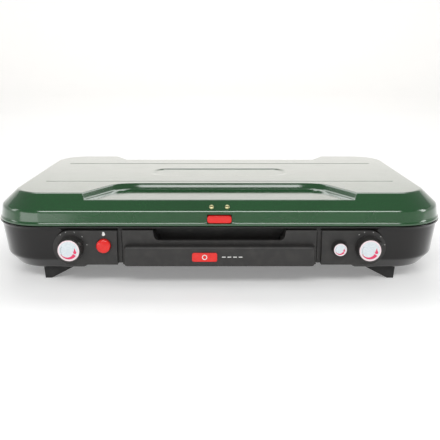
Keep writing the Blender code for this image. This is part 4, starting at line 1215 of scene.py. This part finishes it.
@dataclass
class GrateSet:
    """Three welded wire grates that lie on the cooktop's rim."""

    rod: float = 0.0025
    pitch: float = 0.0290
    rail_offset: float = 0.1150

    def grate(self, name: str) -> bpy.types.Object:
        """Models one grate inside its node's box: bars front to back over two cross rails, with welds."""
        low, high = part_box(f"grate_{name}")
        r = self.rod
        middle = (low.y + high.y) / 2
        bar_z, rail_z = high.z - r, high.z - 2.5 * r
        count = round((high.x - low.x) / self.pitch)
        rails = (middle - self.rail_offset, middle + self.rail_offset)
        nugget = [(0.6 * r, -0.0012), (1.25 * r, -0.0006), (1.25 * r, 0.0006), (0.6 * r, 0.0012)]
        pieces = [wire("rail", (low.x, y, rail_z), (high.x, y, rail_z), r) for y in rails]
        for k in range(count + 1):
            x = low.x + r + (high.x - low.x - 2 * r) * k / count
            pieces.append(wire("bar", (x, low.y, bar_z), (x, high.y, bar_z), r))
            for y in rails:
                pieces.append(turned("weld", nugget, (x, y, bar_z - 0.75 * r), (0, 0, 1), 10))
        grate = joined(f"Grate {name}", *pieces)
        return shade(grate, 40)

    def build(self, dresser: Dresser) -> None:
        """Models and dresses the three grates."""
        for name in ("left", "centre", "right"):
            dresser.dress(self.grate(name), "chromed_wire", Body.BASE, [f"grate_{name}"])


@dataclass
class BurnerSet:
    """Cast burner heads with flame ports, and their caps."""

    port_depth: float = 0.0016
    lip: float = 0.0080
    bowl_depth: float = 0.0098
    necks: Pair = (0.460, 0.555)
    facets: tuple[tuple[str, int], ...] = (("left", 96), ("centre", 60), ("right", 96))

    def head(self, name: str, sides: int) -> bpy.types.Object:
        """Turns one head and mills its flame ports.

        Args:
            name: left, centre or right.
            sides: facets round the head, two to each port.

        Returns:
            The head.
        """
        low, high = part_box(f"burner_{name}")
        middle, half = place_of(f"burner_{name}")
        x, y, radius, top = middle.x, middle.y, half.x, high.z
        wide, narrow = self.necks
        neck = radius * (narrow if name == "centre" else wide)
        foot = top - self.bowl_depth
        profile = [
            (neck, low.z), (neck, foot - 0.001), (neck + 0.001, foot), (radius - 0.006, foot + 0.0006),
            (radius - 0.0015, foot + 0.0016), (radius, foot + 0.0034), (radius, foot + 0.0042),
            (radius, top - 0.0016), (radius, top - 0.0006), (radius - 0.0006, top),
            (radius - self.lip, top), (radius - self.lip - 0.0006, top - 0.0060), (0.012, top - 0.0062),
        ]
        head = turned(f"Burner {name}", profile, (x, y, 0), (0, 0, 1), sides)
        band = (foot + 0.0042, top - 0.0016)

        def port(face: bmesh.types.BMFace) -> bool:
            """Every second facet of the port band."""
            p = face.calc_center_median()
            turn = (math.atan2(p.y - y, p.x - x) / math.tau * sides) % sides
            on_band = band[0] < p.z < band[1] and math.hypot(p.x - x, p.y - y) > radius * 0.98
            return on_band and int(turn) % 2 == 0

        with editing(head):
            pick(Pick.FACE, port)
            bpy.ops.mesh.inset(thickness=0.0004, use_individual=True)
            share = 1 - self.port_depth / radius
            bpy.ops.mesh.extrude_region_move()
            bpy.ops.transform.resize(value=(share, share, 1), center_override=(x, y, 0))
        return shade(head, 35)

    def cap(self, name: str) -> bpy.types.Object:
        """Turns one cap, with a stepped crown and a shallow dish in the middle."""
        low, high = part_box(f"burner_cap_{name}")
        middle, half = place_of(f"burner_cap_{name}")
        x, y, radius, top = middle.x, middle.y, half.x, high.z
        rim = low.z + 0.0030
        profile = [
            (radius - self.lip, low.z), (radius - self.lip + 0.001, rim), (radius - 0.0004, rim),
            (radius, rim + 0.0006), (radius - 0.0012, rim + 0.0022), (radius - 0.0040, top - 0.0003),
            (radius - 0.0055, top), (radius * 0.62, top), (radius * 0.60, top - 0.0005),
            (radius * 0.57, top - 0.0005), (radius * 0.55, top), (radius * 0.2, top - 0.0002),
            (0.002, top - 0.0004),
        ]
        return shade(turned(f"Burner cap {name}", profile, (x, y, 0), (0, 0, 1), 72), 35)

    def build(self, dresser: Dresser) -> None:
        """Models and dresses heads and caps."""
        for name, sides in self.facets:
            dresser.dress(self.head(name, sides), "cast_aluminium", Body.BASE, [f"burner_{name}"])
            dresser.dress(self.cap(name), "cast_aluminium", Body.BASE, [f"burner_cap_{name}"])


# Front mouldings ----------------------------------------------------------------------------------------
@dataclass
class ControlPanel:
    """Moulded platform round one end's controls, with a half-round outer end and printed marks."""

    stove: Stove
    side: Side
    top: float = -0.0057
    bottom: float = -0.0600
    inner: float = 0.1560
    plate_inner: float = 0.1495
    reach: float = -0.0040
    step: float = 0.0060
    back: float = 0.0095
    mark_radius: float = 0.0255
    mark_turns: tuple[float, ...] = (-35.0, -15.0, 15.0, 46.0, 79.0)
    print_depth: float = 0.00012
    sign_rise: float = 0.0072
    sign_size: Pair = (0.0023, 0.0066)

    @property
    def knob(self) -> Vector:
        """The middle of the big knob's dial."""
        return place_of(f"dial_{self.side.label}")[0]

    def placed(self, inner: float, outer: float, reaches: Pair, heights: Pair) -> tuple[Vector, Vector]:
        """Corners of a block given by distances from the middle, reaches and heights."""
        a, b = self.side.value * inner, self.side.value * outer
        low = Vector((min(a, b), self.stove.front + reaches[0], self.stove.seam + heights[0]))
        return low, Vector((max(a, b), self.stove.front + reaches[1], self.stove.seam + heights[1]))

    def body(self) -> bpy.types.Object:
        """Moulds the platform and its flange, and bores the igniter's hole."""
        radius = (self.top - self.bottom) / 2
        end = abs(self.knob.x) + radius
        low, high = self.placed(self.inner, end, (self.reach, self.back), (self.bottom, self.top))
        panel = block(f"Control panel {self.side.label}", low, high)
        outer = self.side.value * end
        round_edges(panel, runs_along(1, lambda p: abs(p.x - outer) < 0.001), radius * 0.9995, 20)
        soften(panel, 0.0011)
        reaches = (self.reach + self.step, self.back - 0.0005)
        heights = (self.bottom + 0.0015, self.top - 0.0015)
        low, high = self.placed(self.plate_inner, self.inner + 0.01, reaches, heights)
        plate = soften(block("plate", low, high), 0.0005)
        if self.side is Side.LEFT:
            spot, half = place_of("igniter_button")
            reach = half.x + 0.0005
            spot.y = self.stove.front - 0.03
            hole = turned("hole", [(reach, 0.0), (reach, 0.06)], spot, (0, 1, 0), 64)
            carve(panel, hole)
            shade(panel, 38)
        return joined(panel.name, panel, plate)

    def marks(self) -> bpy.types.Object:
        """Prints the flame-level marks round the upper half of the big knob."""
        pieces = []
        face = self.stove.front + self.reach
        for degrees in self.mark_turns:
            turn = math.radians(degrees)
            spot = self.knob + Vector((math.sin(turn), 0, math.cos(turn))) * self.mark_radius
            half = Vector((0.0003, 0, 0.0009))
            low = Vector((spot.x - half.x, face - self.print_depth, spot.z - half.z))
            mark = block("mark", low, Vector((spot.x + half.x, face + 0.0002, spot.z + half.z)))
            round_edges(mark, runs_along(1), 0.00018, 2)
            with editing(mark):
                bpy.ops.mesh.select_all(action="SELECT")
                bpy.ops.transform.rotate(value=turn, orient_axis="Y", center_override=spot)
            pieces.append(mark)
        return shade(joined(f"Level marks {self.side.label}", *pieces), 40)

    def flame(self) -> bpy.types.Object:
        """Prints the flame sign over the igniter: a plain drop."""
        button, half = place_of("igniter_button")
        height = button.z + half.z + self.sign_rise
        middle = Vector((button.x, self.stove.front + self.reach, height))
        broad, tall = self.sign_size
        deselect()
        bpy.ops.mesh.primitive_circle_add(
            vertices=36, radius=1.0, fill_type="NGON", rotation=(math.radians(90), 0, 0), location=(0, 0, 0)
        )
        piece = fresh("Flame sign")

        def drop(p: Vector) -> Vector:
            """Draws the circle up into a leaning tip."""
            rise = (p.z + 1) / 2
            lean = 0.0005 * math.sin(rise * math.pi)
            width = broad * (1 - rise**2.2) ** 0.6 + 0.0002
            across = p.x / max(math.sqrt(max(1 - p.z * p.z, 1e-6)), 0.02)
            half = width * min(1.0, math.sqrt(max(rise, 0.0)) * 2.1)
            return middle + Vector((across * half + lean, 0, (rise - 0.42) * tall))

        with editing(piece):
            bpy.ops.mesh.select_all(action="SELECT")
            place_selected(drop)
            bpy.ops.mesh.inset(thickness=0.0003)
            bpy.ops.mesh.normals_make_consistent(inside=False)
        apply(piece, "SOLIDIFY", thickness=self.print_depth + 0.0001, offset=0.0)
        return shade(piece, 40)

    def build(self, dresser: Dresser) -> None:
        """Models and dresses the panel and its print."""
        node = f"control_panel_{self.side.label}"
        dresser.dress(self.body(), "black_moulding", Body.BASE, [node])
        dresser.dress(self.marks(), "pad_print", Body.BASE)
        if self.side is Side.LEFT:
            dresser.dress(self.flame(), "pad_print", Body.BASE)


@dataclass
class GripHandle:
    """Moulding in the middle of the front: a thick grip bar over which fingers reach into a pocket."""

    stove: Stove
    half: float = 0.1485
    top: float = -0.0057
    bottom: float = -0.0600
    bar_half: float = 0.1450
    bar_reach: float = -0.0150
    bar_top: float = -0.0280
    bar_round: float = 0.0042
    pocket_half: float = 0.1035
    splay: float = 0.0045
    sill: float = -0.0215
    pocket_reach: float = 0.0300
    pocket_floor: float = -0.0535
    grip_reach: float = 0.0030
    wall: float = 0.0024
    face: Pair = (-0.0020, 0.0095)
    dashes: int = 4
    dash_half: Pair = (0.0029, 0.0007)
    dash_pitch: float = 0.0085
    ring: Pair = (0.0040, 0.0027)

    def at(self, x: float, reach: float, height: float) -> Vector:
        """World place of an x, a reach and a height."""
        return Vector((x, self.stove.front + reach, self.stove.seam + height))

    def body(self) -> bpy.types.Object:
        """Moulds the face, bar and pocket as one piece."""
        inner = self.pocket_half - self.splay
        outer = self.pocket_half + self.wall
        front, back = self.face
        low = self.at(-self.half, front, self.bottom)
        face = block("Front handle", low, self.at(self.half, back, self.top))
        soften(face, 0.0007)
        tub_low = self.at(-outer, 0.0010, self.pocket_floor - self.wall)
        tub = block("tub", tub_low, self.at(outer, self.pocket_reach + self.wall, self.top - 0.0001))
        round_edges(tub, runs_along(1, lambda p: p.z < self.stove.seam - 0.04), 0.008, 6)
        bar_low = self.at(-self.bar_half, self.bar_reach, self.bottom + 0.0002)
        bar = block("bar", bar_low, self.at(self.bar_half, 0.002, self.bar_top))
        front = self.stove.front + self.bar_reach
        round_edges(bar, runs_along(1, lambda p: True), self.bar_round, 6)
        round_edges(
            bar, lambda e: all(abs(v.co.y - front) < 1e-5 for v in e.verts), self.bar_round * 0.9, 6
        )
        mouth_low = self.at(-self.pocket_half, -0.03, self.sill)
        mouth = block("mouth", mouth_low, self.at(self.pocket_half, self.pocket_reach, 0.01))
        sill = self.stove.seam + self.sill
        with editing(mouth):
            pick(Pick.VERT, lambda v: v.co.z < sill + 1e-5)
            place_selected(lambda p: Vector((math.copysign(inner, p.x), p.y, p.z)))
        round_edges(mouth, runs_along(1, lambda p: p.z < sill + 1e-4), 0.0068, 8)
        low = self.at(-inner + 0.004, self.grip_reach, self.pocket_floor)
        well = block("well", low, self.at(inner - 0.004, self.pocket_reach, self.sill + 0.001))
        round_edges(well, runs_along(1, lambda p: p.z < self.stove.seam - 0.04), 0.007, 6)
        weld(face, bar, tub)
        carve(face, mouth, well)
        soften(face, 0.0006, 2, 40)
        return face

    def badge(self) -> bpy.types.Object:
        """Moulds the plain badge, with a raised border round a slightly sunk face."""
        low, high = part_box("handle_badge")
        badge = block("Handle badge", low, high)
        round_edges(badge, runs_along(1), 0.0030, 6)
        with editing(badge):
            pick(Pick.FACE, lambda f: f.normal.y < -0.9)
            bpy.ops.mesh.inset(thickness=0.0007)
            bpy.ops.mesh.extrude_region_move(TRANSFORM_OT_translate={"value": (0, 0.0003, 0)})
        return soften(badge, 0.00018, 2, 40)

    def mark(self) -> bpy.types.Object:
        """Prints a plain ring on the badge and four even dashes beside it."""
        low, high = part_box("handle_badge")
        middle = (low + high) / 2
        face = low.y + 0.0003
        start = Vector((middle.x, face - 0.00008, middle.z))
        outer, inner = self.ring
        ring = turned("ring", [(outer, 0.0), (outer, 0.0002)], start, (0, 1, 0), 48)
        hole = turned("hole", [(inner, -0.001), (inner, 0.001)], start, (0, 1, 0), 48)
        pieces = [carve(ring, hole)]
        bar_face = self.stove.front + self.bar_reach
        long, tall = self.dash_half
        for k in range(self.dashes):
            x = high.x + 0.0100 + self.dash_pitch * k
            corner = Vector((x - long, bar_face - 0.0001, middle.z - tall))
            dash = block("dash", corner, Vector((x + long, bar_face + 0.0002, middle.z + tall)))
            round_edges(dash, runs_along(1), 0.0006, 4)
            pieces.append(dash)
        return shade(joined("Bar print", *pieces), 40)

    def build(self, dresser: Dresser) -> None:
        """Models and dresses the handle, badge and print."""
        dresser.dress(self.body(), "black_moulding", Body.BASE, ["front_handle"])
        dresser.dress(self.badge(), "scarlet_plastic", Body.BASE, ["handle_badge"])
        dresser.dress(self.mark(), "pad_print", Body.BASE)


# Controls -----------------------------------------------------------------------------------------------
@dataclass
class Knob:
    """Skirted gas knob with a foil dial and a finger tab."""

    name: str
    body: Body
    radius: float
    tab_turn: float = 32.0

    @property
    def dial_box(self) -> tuple[Vector, Vector]:
        """The dial's box."""
        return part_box(f"dial_{self.name}")

    @property
    def axis(self) -> Vector:
        """Where the knob's axis meets the dial's face."""
        low, high = self.dial_box
        return Vector(((low.x + high.x) / 2, low.y, (low.z + high.z) / 2))

    def skirt(self) -> bpy.types.Object:
        """Turns the skirt, seats the dial and welds on the finger tab."""
        low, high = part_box(f"knob_{self.name}")
        length = high.y - low.y
        dial_low, dial_high = self.dial_box
        seat = (dial_high.x - dial_low.x) / 2 + 0.0002
        r = self.radius
        profile = [
            (seat - 0.002, 0.0012), (seat, 0.0010), (seat + 0.0001, 0.0002), (seat + 0.0006, 0.0),
            (r * 0.925 - 0.0006, 0.0002), (r * 0.925, 0.0010), (r * 0.935, 0.0022),
            (r * 0.955, length * 0.55), (r * 0.965, length * 0.62), (r - 0.0004, length * 0.64),
            (r, length * 0.69), (r, length - 0.0008), (r - 0.0006, length),
        ]
        start = Vector((self.axis.x, low.y, self.axis.z))
        skirt = turned(f"Knob {self.name}", profile, start, (0, 1, 0), 96)
        turn = math.radians(self.tab_turn)
        out = Vector((math.cos(turn), 0, math.sin(turn))) * (r - 0.0018)
        tab_length = length - 0.0026
        tab = [
            (0.08 * r, 0.0), (0.15 * r, 0.0003), (0.19 * r, 0.0012), (0.20 * r, 0.003),
            (0.20 * r, tab_length),
        ]
        weld(skirt, turned("tab", tab, start + out + Vector((0, 0.0024, 0)), (0, 1, 0), 24))
        return soften(skirt, 0.0003, 2, 45)

    def dial(self) -> bpy.types.Object:
        """Turns the dial disc: nearly flat, with a rolled edge and a small boss in the middle."""
        low, high = self.dial_box
        r = (high.x - low.x) / 2
        thick = high.y - low.y
        profile = [
            (0.06 * r, 0.00012), (0.12 * r, 0.00012), (0.14 * r, 0.00018), (0.86 * r, 0.00018),
            (0.885 * r, 0.00002), (0.985 * r, 0.00002), (r, 0.0002), (r, thick),
        ]
        return shade(turned(f"Dial {self.name}", profile, self.axis, (0, 1, 0), 96), 30)

    def build(self, dresser: Dresser) -> None:
        """Models and dresses the knob and its dial."""
        low, high = self.dial_box
        foil = DialFoil(f"Foiled dial {self.name}", tuple(self.axis), (high.x - low.x) / 2).build()
        dresser.dress(self.skirt(), "black_moulding", self.body, [f"knob_{self.name}"])
        dresser.dress(self.dial(), foil, self.body, [f"dial_{self.name}"])


@dataclass
class Igniter:
    """Domed push button of the piezo igniter."""

    crown: float = 0.0034
    stem_radius: float = 0.0032
    stem_length: float = 0.0130

    def build(self, dresser: Dresser) -> None:
        """Turns and dresses the button."""
        low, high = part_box("igniter_button")
        middle = Vector(((low.x + high.x) / 2, low.y, (low.z + high.z) / 2))
        r, length = (high.x - low.x) / 2, high.y - low.y
        turns = np.linspace(0.12, math.pi / 2, 12)
        dome = [(r * math.sin(turn), self.crown * (1 - math.cos(turn))) for turn in turns]
        head_end = length - self.stem_length
        stem = [(self.stem_radius, head_end), (self.stem_radius, length)]
        profile = [*dome, (r, head_end - 0.0006), (r - 0.0005, head_end), *stem]
        button = shade(turned("Igniter button", profile, middle, (0, 1, 0), 72), 35)
        dresser.dress(button, "scarlet_plastic", Body.IGNITER, ["igniter_button"])


# Latch, hinges and feet ---------------------------------------------------------------------------------
@dataclass
class Latch:
    """Push latch in the lid's front, and the two screws that hold its bracket."""

    stove: Stove
    screw_x: float = 0.0120
    screw_inset: float = 0.00983
    screw_rise: float = 0.0278
    slope_run: float = 0.0255
    slope_rise: float = 0.0232
    head: float = 0.0037

    def button(self) -> bpy.types.Object:
        """Moulds the button: rounded corners and a dished face."""
        low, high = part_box("latch_button")
        margin = Vector((0, 0, 0.0008))
        button = block("Latch button", low + margin, high - margin)
        round_edges(button, runs_along(1), 0.0034, 6)
        with editing(button):
            pick(Pick.FACE, lambda f: f.normal.y < -0.9)
            bpy.ops.mesh.inset(thickness=0.0014)
            bpy.ops.mesh.extrude_region_move(TRANSFORM_OT_translate={"value": (0, 0.0005, 0)})
        return soften(button, 0.0006, 3, 30)

    def screw(self, x: float, name: str) -> bpy.types.Object:
        """Turns a pan-head screw square to the lid's slope and cuts its cross recess."""
        spot = Vector((x, self.stove.front + self.screw_inset, self.stove.seam + self.screw_rise))
        normal = Vector((0, -self.slope_rise, self.slope_run)).normalized()
        r = self.head
        profile = [
            (r * 0.9, 0.0002), (r, 0.0003), (r, 0.0008), (r * 0.93, 0.0013), (r * 0.78, 0.0018),
            (r * 0.55, 0.0021), (r * 0.3, 0.0023),
        ]
        head = turned(name, profile, spot, normal, 40)
        tools = []
        for long, wide in ((0.0017, 0.00045), (0.00045, 0.0017)):
            tool = block("recess", spot - Vector((long, wide, -0.0011)), spot + Vector((long, wide, 0.004)))
            with editing(tool):
                bpy.ops.mesh.select_all(action="SELECT")
                lean = math.atan2(self.slope_rise, self.slope_run)
                bpy.ops.transform.rotate(value=-lean, orient_axis="X", center_override=spot)
            tools.append(tool)
        carve(head, *tools)
        return shade(head, 30)

    def build(self, dresser: Dresser) -> None:
        """Models and dresses the latch."""
        dresser.dress(self.button(), "scarlet_plastic", Body.LATCH, ["latch_button"])
        for side in Side:
            screw = self.screw(side.value * self.screw_x, f"Latch screw {side.label}")
            dresser.dress(screw, "yellow_zinc", Body.LID, [f"latch_screw_{side.label}"])
        dresser.coat_node("phosphated_steel", "latch_bracket", "latch_tongue")


@dataclass
class Hinges:
    """The two rear hinges, which keep their frame shape and gain rivets."""

    stove: Stove
    rivet: float = 0.0022
    leaf: float = 0.0012
    rivet_x: Pair = (-0.0120, 0.0120)
    rivet_inset: Pair = (0.0055, 0.0050)

    def rivets(self, node: str, out: float) -> bpy.types.Object:
        """Two domed rivets on one leaf.

        Args:
            node: the leaf's node.
            out: world y of the leaf's outer face.

        Returns:
            The rivets as one piece.
        """
        low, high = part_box(node)
        middle = (low + high) / 2
        above_foot, below_top = self.rivet_inset
        height = low.z + above_foot if "base" in node else high.z - below_top
        r = self.rivet
        dome = [(r, 0.0), (r, 0.0003), (0.92 * r, 0.0007), (0.7 * r, 0.0011), (0.35 * r, 0.0013)]
        seats = [(middle.x + off, out - 0.0001, height) for off in self.rivet_x]
        pieces = [turned("rivet", dome, seat, (0, 1, 0), 24) for seat in seats]
        return shade(joined(f"Rivets {node}", *pieces), 40)

    def build(self, dresser: Dresser) -> None:
        """Dresses the hinges and adds the rivets."""
        for side in Side:
            names = [f"hinge_{part}_{side.label}" for part in ("base_leaf", "lid_leaf", "pin")]
            dresser.coat_node("zinc_plated_steel", *names)
            base, lid = f"hinge_base_leaf_{side.label}", f"hinge_lid_leaf_{side.label}"
            wall = self.stove.back + self.leaf
            dresser.dress(self.rivets(base, wall), "zinc_plated_steel", Body.BASE)
            dresser.dress(self.rivets(lid, wall), "zinc_plated_steel", Body.LID)


@dataclass
class Feet:
    """Four moulded rubber wedge feet with a sunk panel in the tread."""

    tread: Pair = (0.0015, 0.0115)

    def foot(self, name: str) -> bpy.types.Object:
        """Moulds one foot in its node's box: tall outer face, sloping inner face and a flat tread."""
        low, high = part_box(f"foot_{name}")
        outer = 1 if high.x > 0 else -1
        near, far = self.tread
        foot = block(f"Foot {name}", low, high)
        middle = (low.x + high.x) / 2
        edge = high.x if outer > 0 else low.x

        def wedge(p: Vector) -> Vector:
            """Draws the tread's inner edge out under the outer face."""
            if p.z > low.z + 1e-5:
                return p
            inner = (p.x - middle) * outer < 0
            return Vector((edge - outer * (far if inner else near), p.y, p.z))

        with editing(foot):
            pick(Pick.VERT, lambda v: True)
            place_selected(wedge)
            pick(Pick.FACE, lambda f: f.normal.z < -0.2 and abs(f.normal.y) < 0.1)
            bpy.ops.mesh.inset(thickness=0.0022, use_individual=True)
            bpy.ops.mesh.extrude_region_move(TRANSFORM_OT_translate={"value": (0, 0, 0.0007)})
        return soften(foot, 0.0010, 3, 30)

    def build(self, dresser: Dresser) -> None:
        """Models and dresses the feet."""
        for end in ("front", "rear"):
            for side in Side:
                name = f"{end}_{side.label}"
                dresser.dress(self.foot(name), "black_rubber", Body.BASE, [f"foot_{name}"])


@dataclass
class GasTrain:
    """The pieces inside the base, which keep their frame shape."""

    ends: tuple[str, ...] = ("left", "centre", "right")

    def build(self, dresser: Dresser) -> None:
        """Dresses valves, tubes, leads and the inlet."""
        for end in self.ends:
            dresser.coat_node("brass", f"valve_{end}", f"valve_stem_{end}")
            dresser.coat_node("zinc_plated_steel", f"mixing_tube_{end}")
            dresser.coat_node("black_rubber", f"spark_lead_{end}")
            dresser.coat_node("white_ceramic", f"spark_electrode_{end}")
        dresser.coat_node("brass", "gas_manifold", "gas_inlet")
        dresser.coat_node("black_moulding", "igniter_body")


# Studio -------------------------------------------------------------------------------------------------
@dataclass
class Softbox:
    """A large soft light."""

    name: str
    place: Triple
    target: Triple
    size: Pair
    power: float
    colour: str = "#FFFFFF"

    def build(self) -> bpy.types.Object:
        """Makes the light and turns it to its target."""
        light = bpy.data.lights.new(self.name, "AREA")
        light.shape = "RECTANGLE"
        light.size, light.size_y = self.size
        light.energy = self.power
        light.color = linear(self.colour)[:3]
        lamp = bpy.data.objects.new(self.name, light)
        lamp.location = self.place
        aim = Vector(self.target) - Vector(self.place)
        lamp.rotation_euler = aim.to_track_quat("-Z", "Y").to_euler()
        lamp.visible_camera = False
        bpy.context.scene.collection.objects.link(lamp)
        return lamp


@dataclass
class Studio:
    """Pale floor, soft lights and the camera."""

    lens: float = 51.7
    camera_place: Triple = (0.0009, -1.1338, 0.3474)
    pitch: float = 14.674
    yaw: float = 0.0
    floor_colours: tuple[str, str] = ("#F4F4F3", "#F0F0EF")
    floor_size: float = 18.0
    floor_flat: float = 4.5
    floor_rise: float = 2.6
    glow: float = 0.22
    air: float = 0.36
    boxes: list[Softbox] = field(default_factory=lambda: [
        Softbox("Rear top box", (0.0, 1.5, 2.1), (0.0, 0.1, 0.0), (2.8, 1.0), 24.0),
        Softbox("Front top box", (0.0, -2.3, 2.1), (0.0, -0.2, 0.0), (2.6, 0.8), 44.0),
        Softbox("Back panel", (0.0, 2.6, 0.95), (0.0, 0.0, 0.1), (4.4, 1.3), 2.2, "#FFF3E6"),
        Softbox("Sweep wash", (0.0, 2.7, 3.0), (0.0, 6.6, 1.2), (4.0, 1.0), 75.0, "#FFFAF3"),
        Softbox("Right strip", (2.3, -0.5, 0.8), (0.0, 0.0, 0.1), (0.5, 1.1), 8.0),
        Softbox("Left strip", (-2.4, -0.3, 0.9), (0.0, 0.0, 0.1), (0.5, 1.1), 4.0),
        Softbox("Low left box", (-1.75, -1.75, 0.22), (-0.3, -0.2, 0.12), (1.7, 0.40), 4.0),
        Softbox("Low left edge", (-0.93, -2.28, 0.22), (-0.25, -0.2, 0.12), (0.40, 0.36), 0.45),
    ])

    def floor(self) -> None:
        """Lays a floor that sweeps up softly far away."""
        deselect()
        bpy.ops.mesh.primitive_grid_add(x_subdivisions=72, y_subdivisions=72, size=self.floor_size)
        floor = fresh("Floor")

        def sweep(points: np.ndarray) -> np.ndarray:
            """Curls the sheet up all round, far away from the stove."""
            far = np.maximum(np.hypot(points[:, 0], points[:, 1]) - self.floor_flat, 0)
            points[:, 2] = 0.45 * np.minimum(far, self.floor_rise) ** 2
            return points

        reshape(floor, sweep)
        take(floor)
        bpy.ops.object.shade_smooth()
        g = Graph("Studio floor")
        mottle = g.ramp(g.grain(60, 3), (0.3, 0.0), (0.7, 1.0))
        pale, dull = (linear(colour) for colour in self.floor_colours)
        g.set(Base_Color=g.blend(mottle, pale, dull), Roughness=0.7)
        g.set(Emission_Color=linear("#FFFFFF"), Emission_Strength=self.glow)
        floor.data.materials.append(g.material)

    def build(self) -> None:
        """Sets up the floor, lights, world, view and camera."""
        self.floor()
        [box.build() for box in self.boxes]
        world = bpy.data.worlds.new("Studio air")
        world.use_nodes = True
        background = world.node_tree.nodes["Background"]
        background.inputs["Color"].default_value = linear("#F7F8FA")
        background.inputs["Strength"].default_value = self.air
        scene = bpy.context.scene
        scene.world = world
        scene.view_settings.view_transform = "Standard"
        data = bpy.data.cameras.new("Camera")
        data.lens = self.lens
        camera = bpy.data.objects.new("Camera", data)
        camera.location = self.camera_place
        camera.rotation_euler = (math.radians(90 - self.pitch), 0, math.radians(self.yaw))
        scene.collection.objects.link(camera)
        scene.camera = camera


# Assembly -----------------------------------------------------------------------------------------------
def main() -> None:
    """Builds the stove round its frame and the studio round the stove."""
    logging.basicConfig(level=logging.INFO, format="%(name)s %(message)s")
    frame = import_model()
    stove = Stove.from_frame()
    dresser = Dresser(frame)
    assemblies = [
        Lid(stove),
        BasePan(stove),
        Cooktop(stove),
        GrateSet(),
        BurnerSet(),
        ControlPanel(stove, Side.LEFT),
        ControlPanel(stove, Side.RIGHT),
        GripHandle(stove),
        Knob("left", Body.LEFT_KNOB, 0.0195),
        Knob("centre", Body.CENTRE_KNOB, 0.0118),
        Knob("right", Body.RIGHT_KNOB, 0.0195),
        Igniter(),
        Latch(stove),
        Hinges(stove),
        Feet(),
        GasTrain(),
    ]
    for assembly in assemblies:
        assembly.build(dresser)
    Studio().build()


if __name__ == "__main__":
    main()
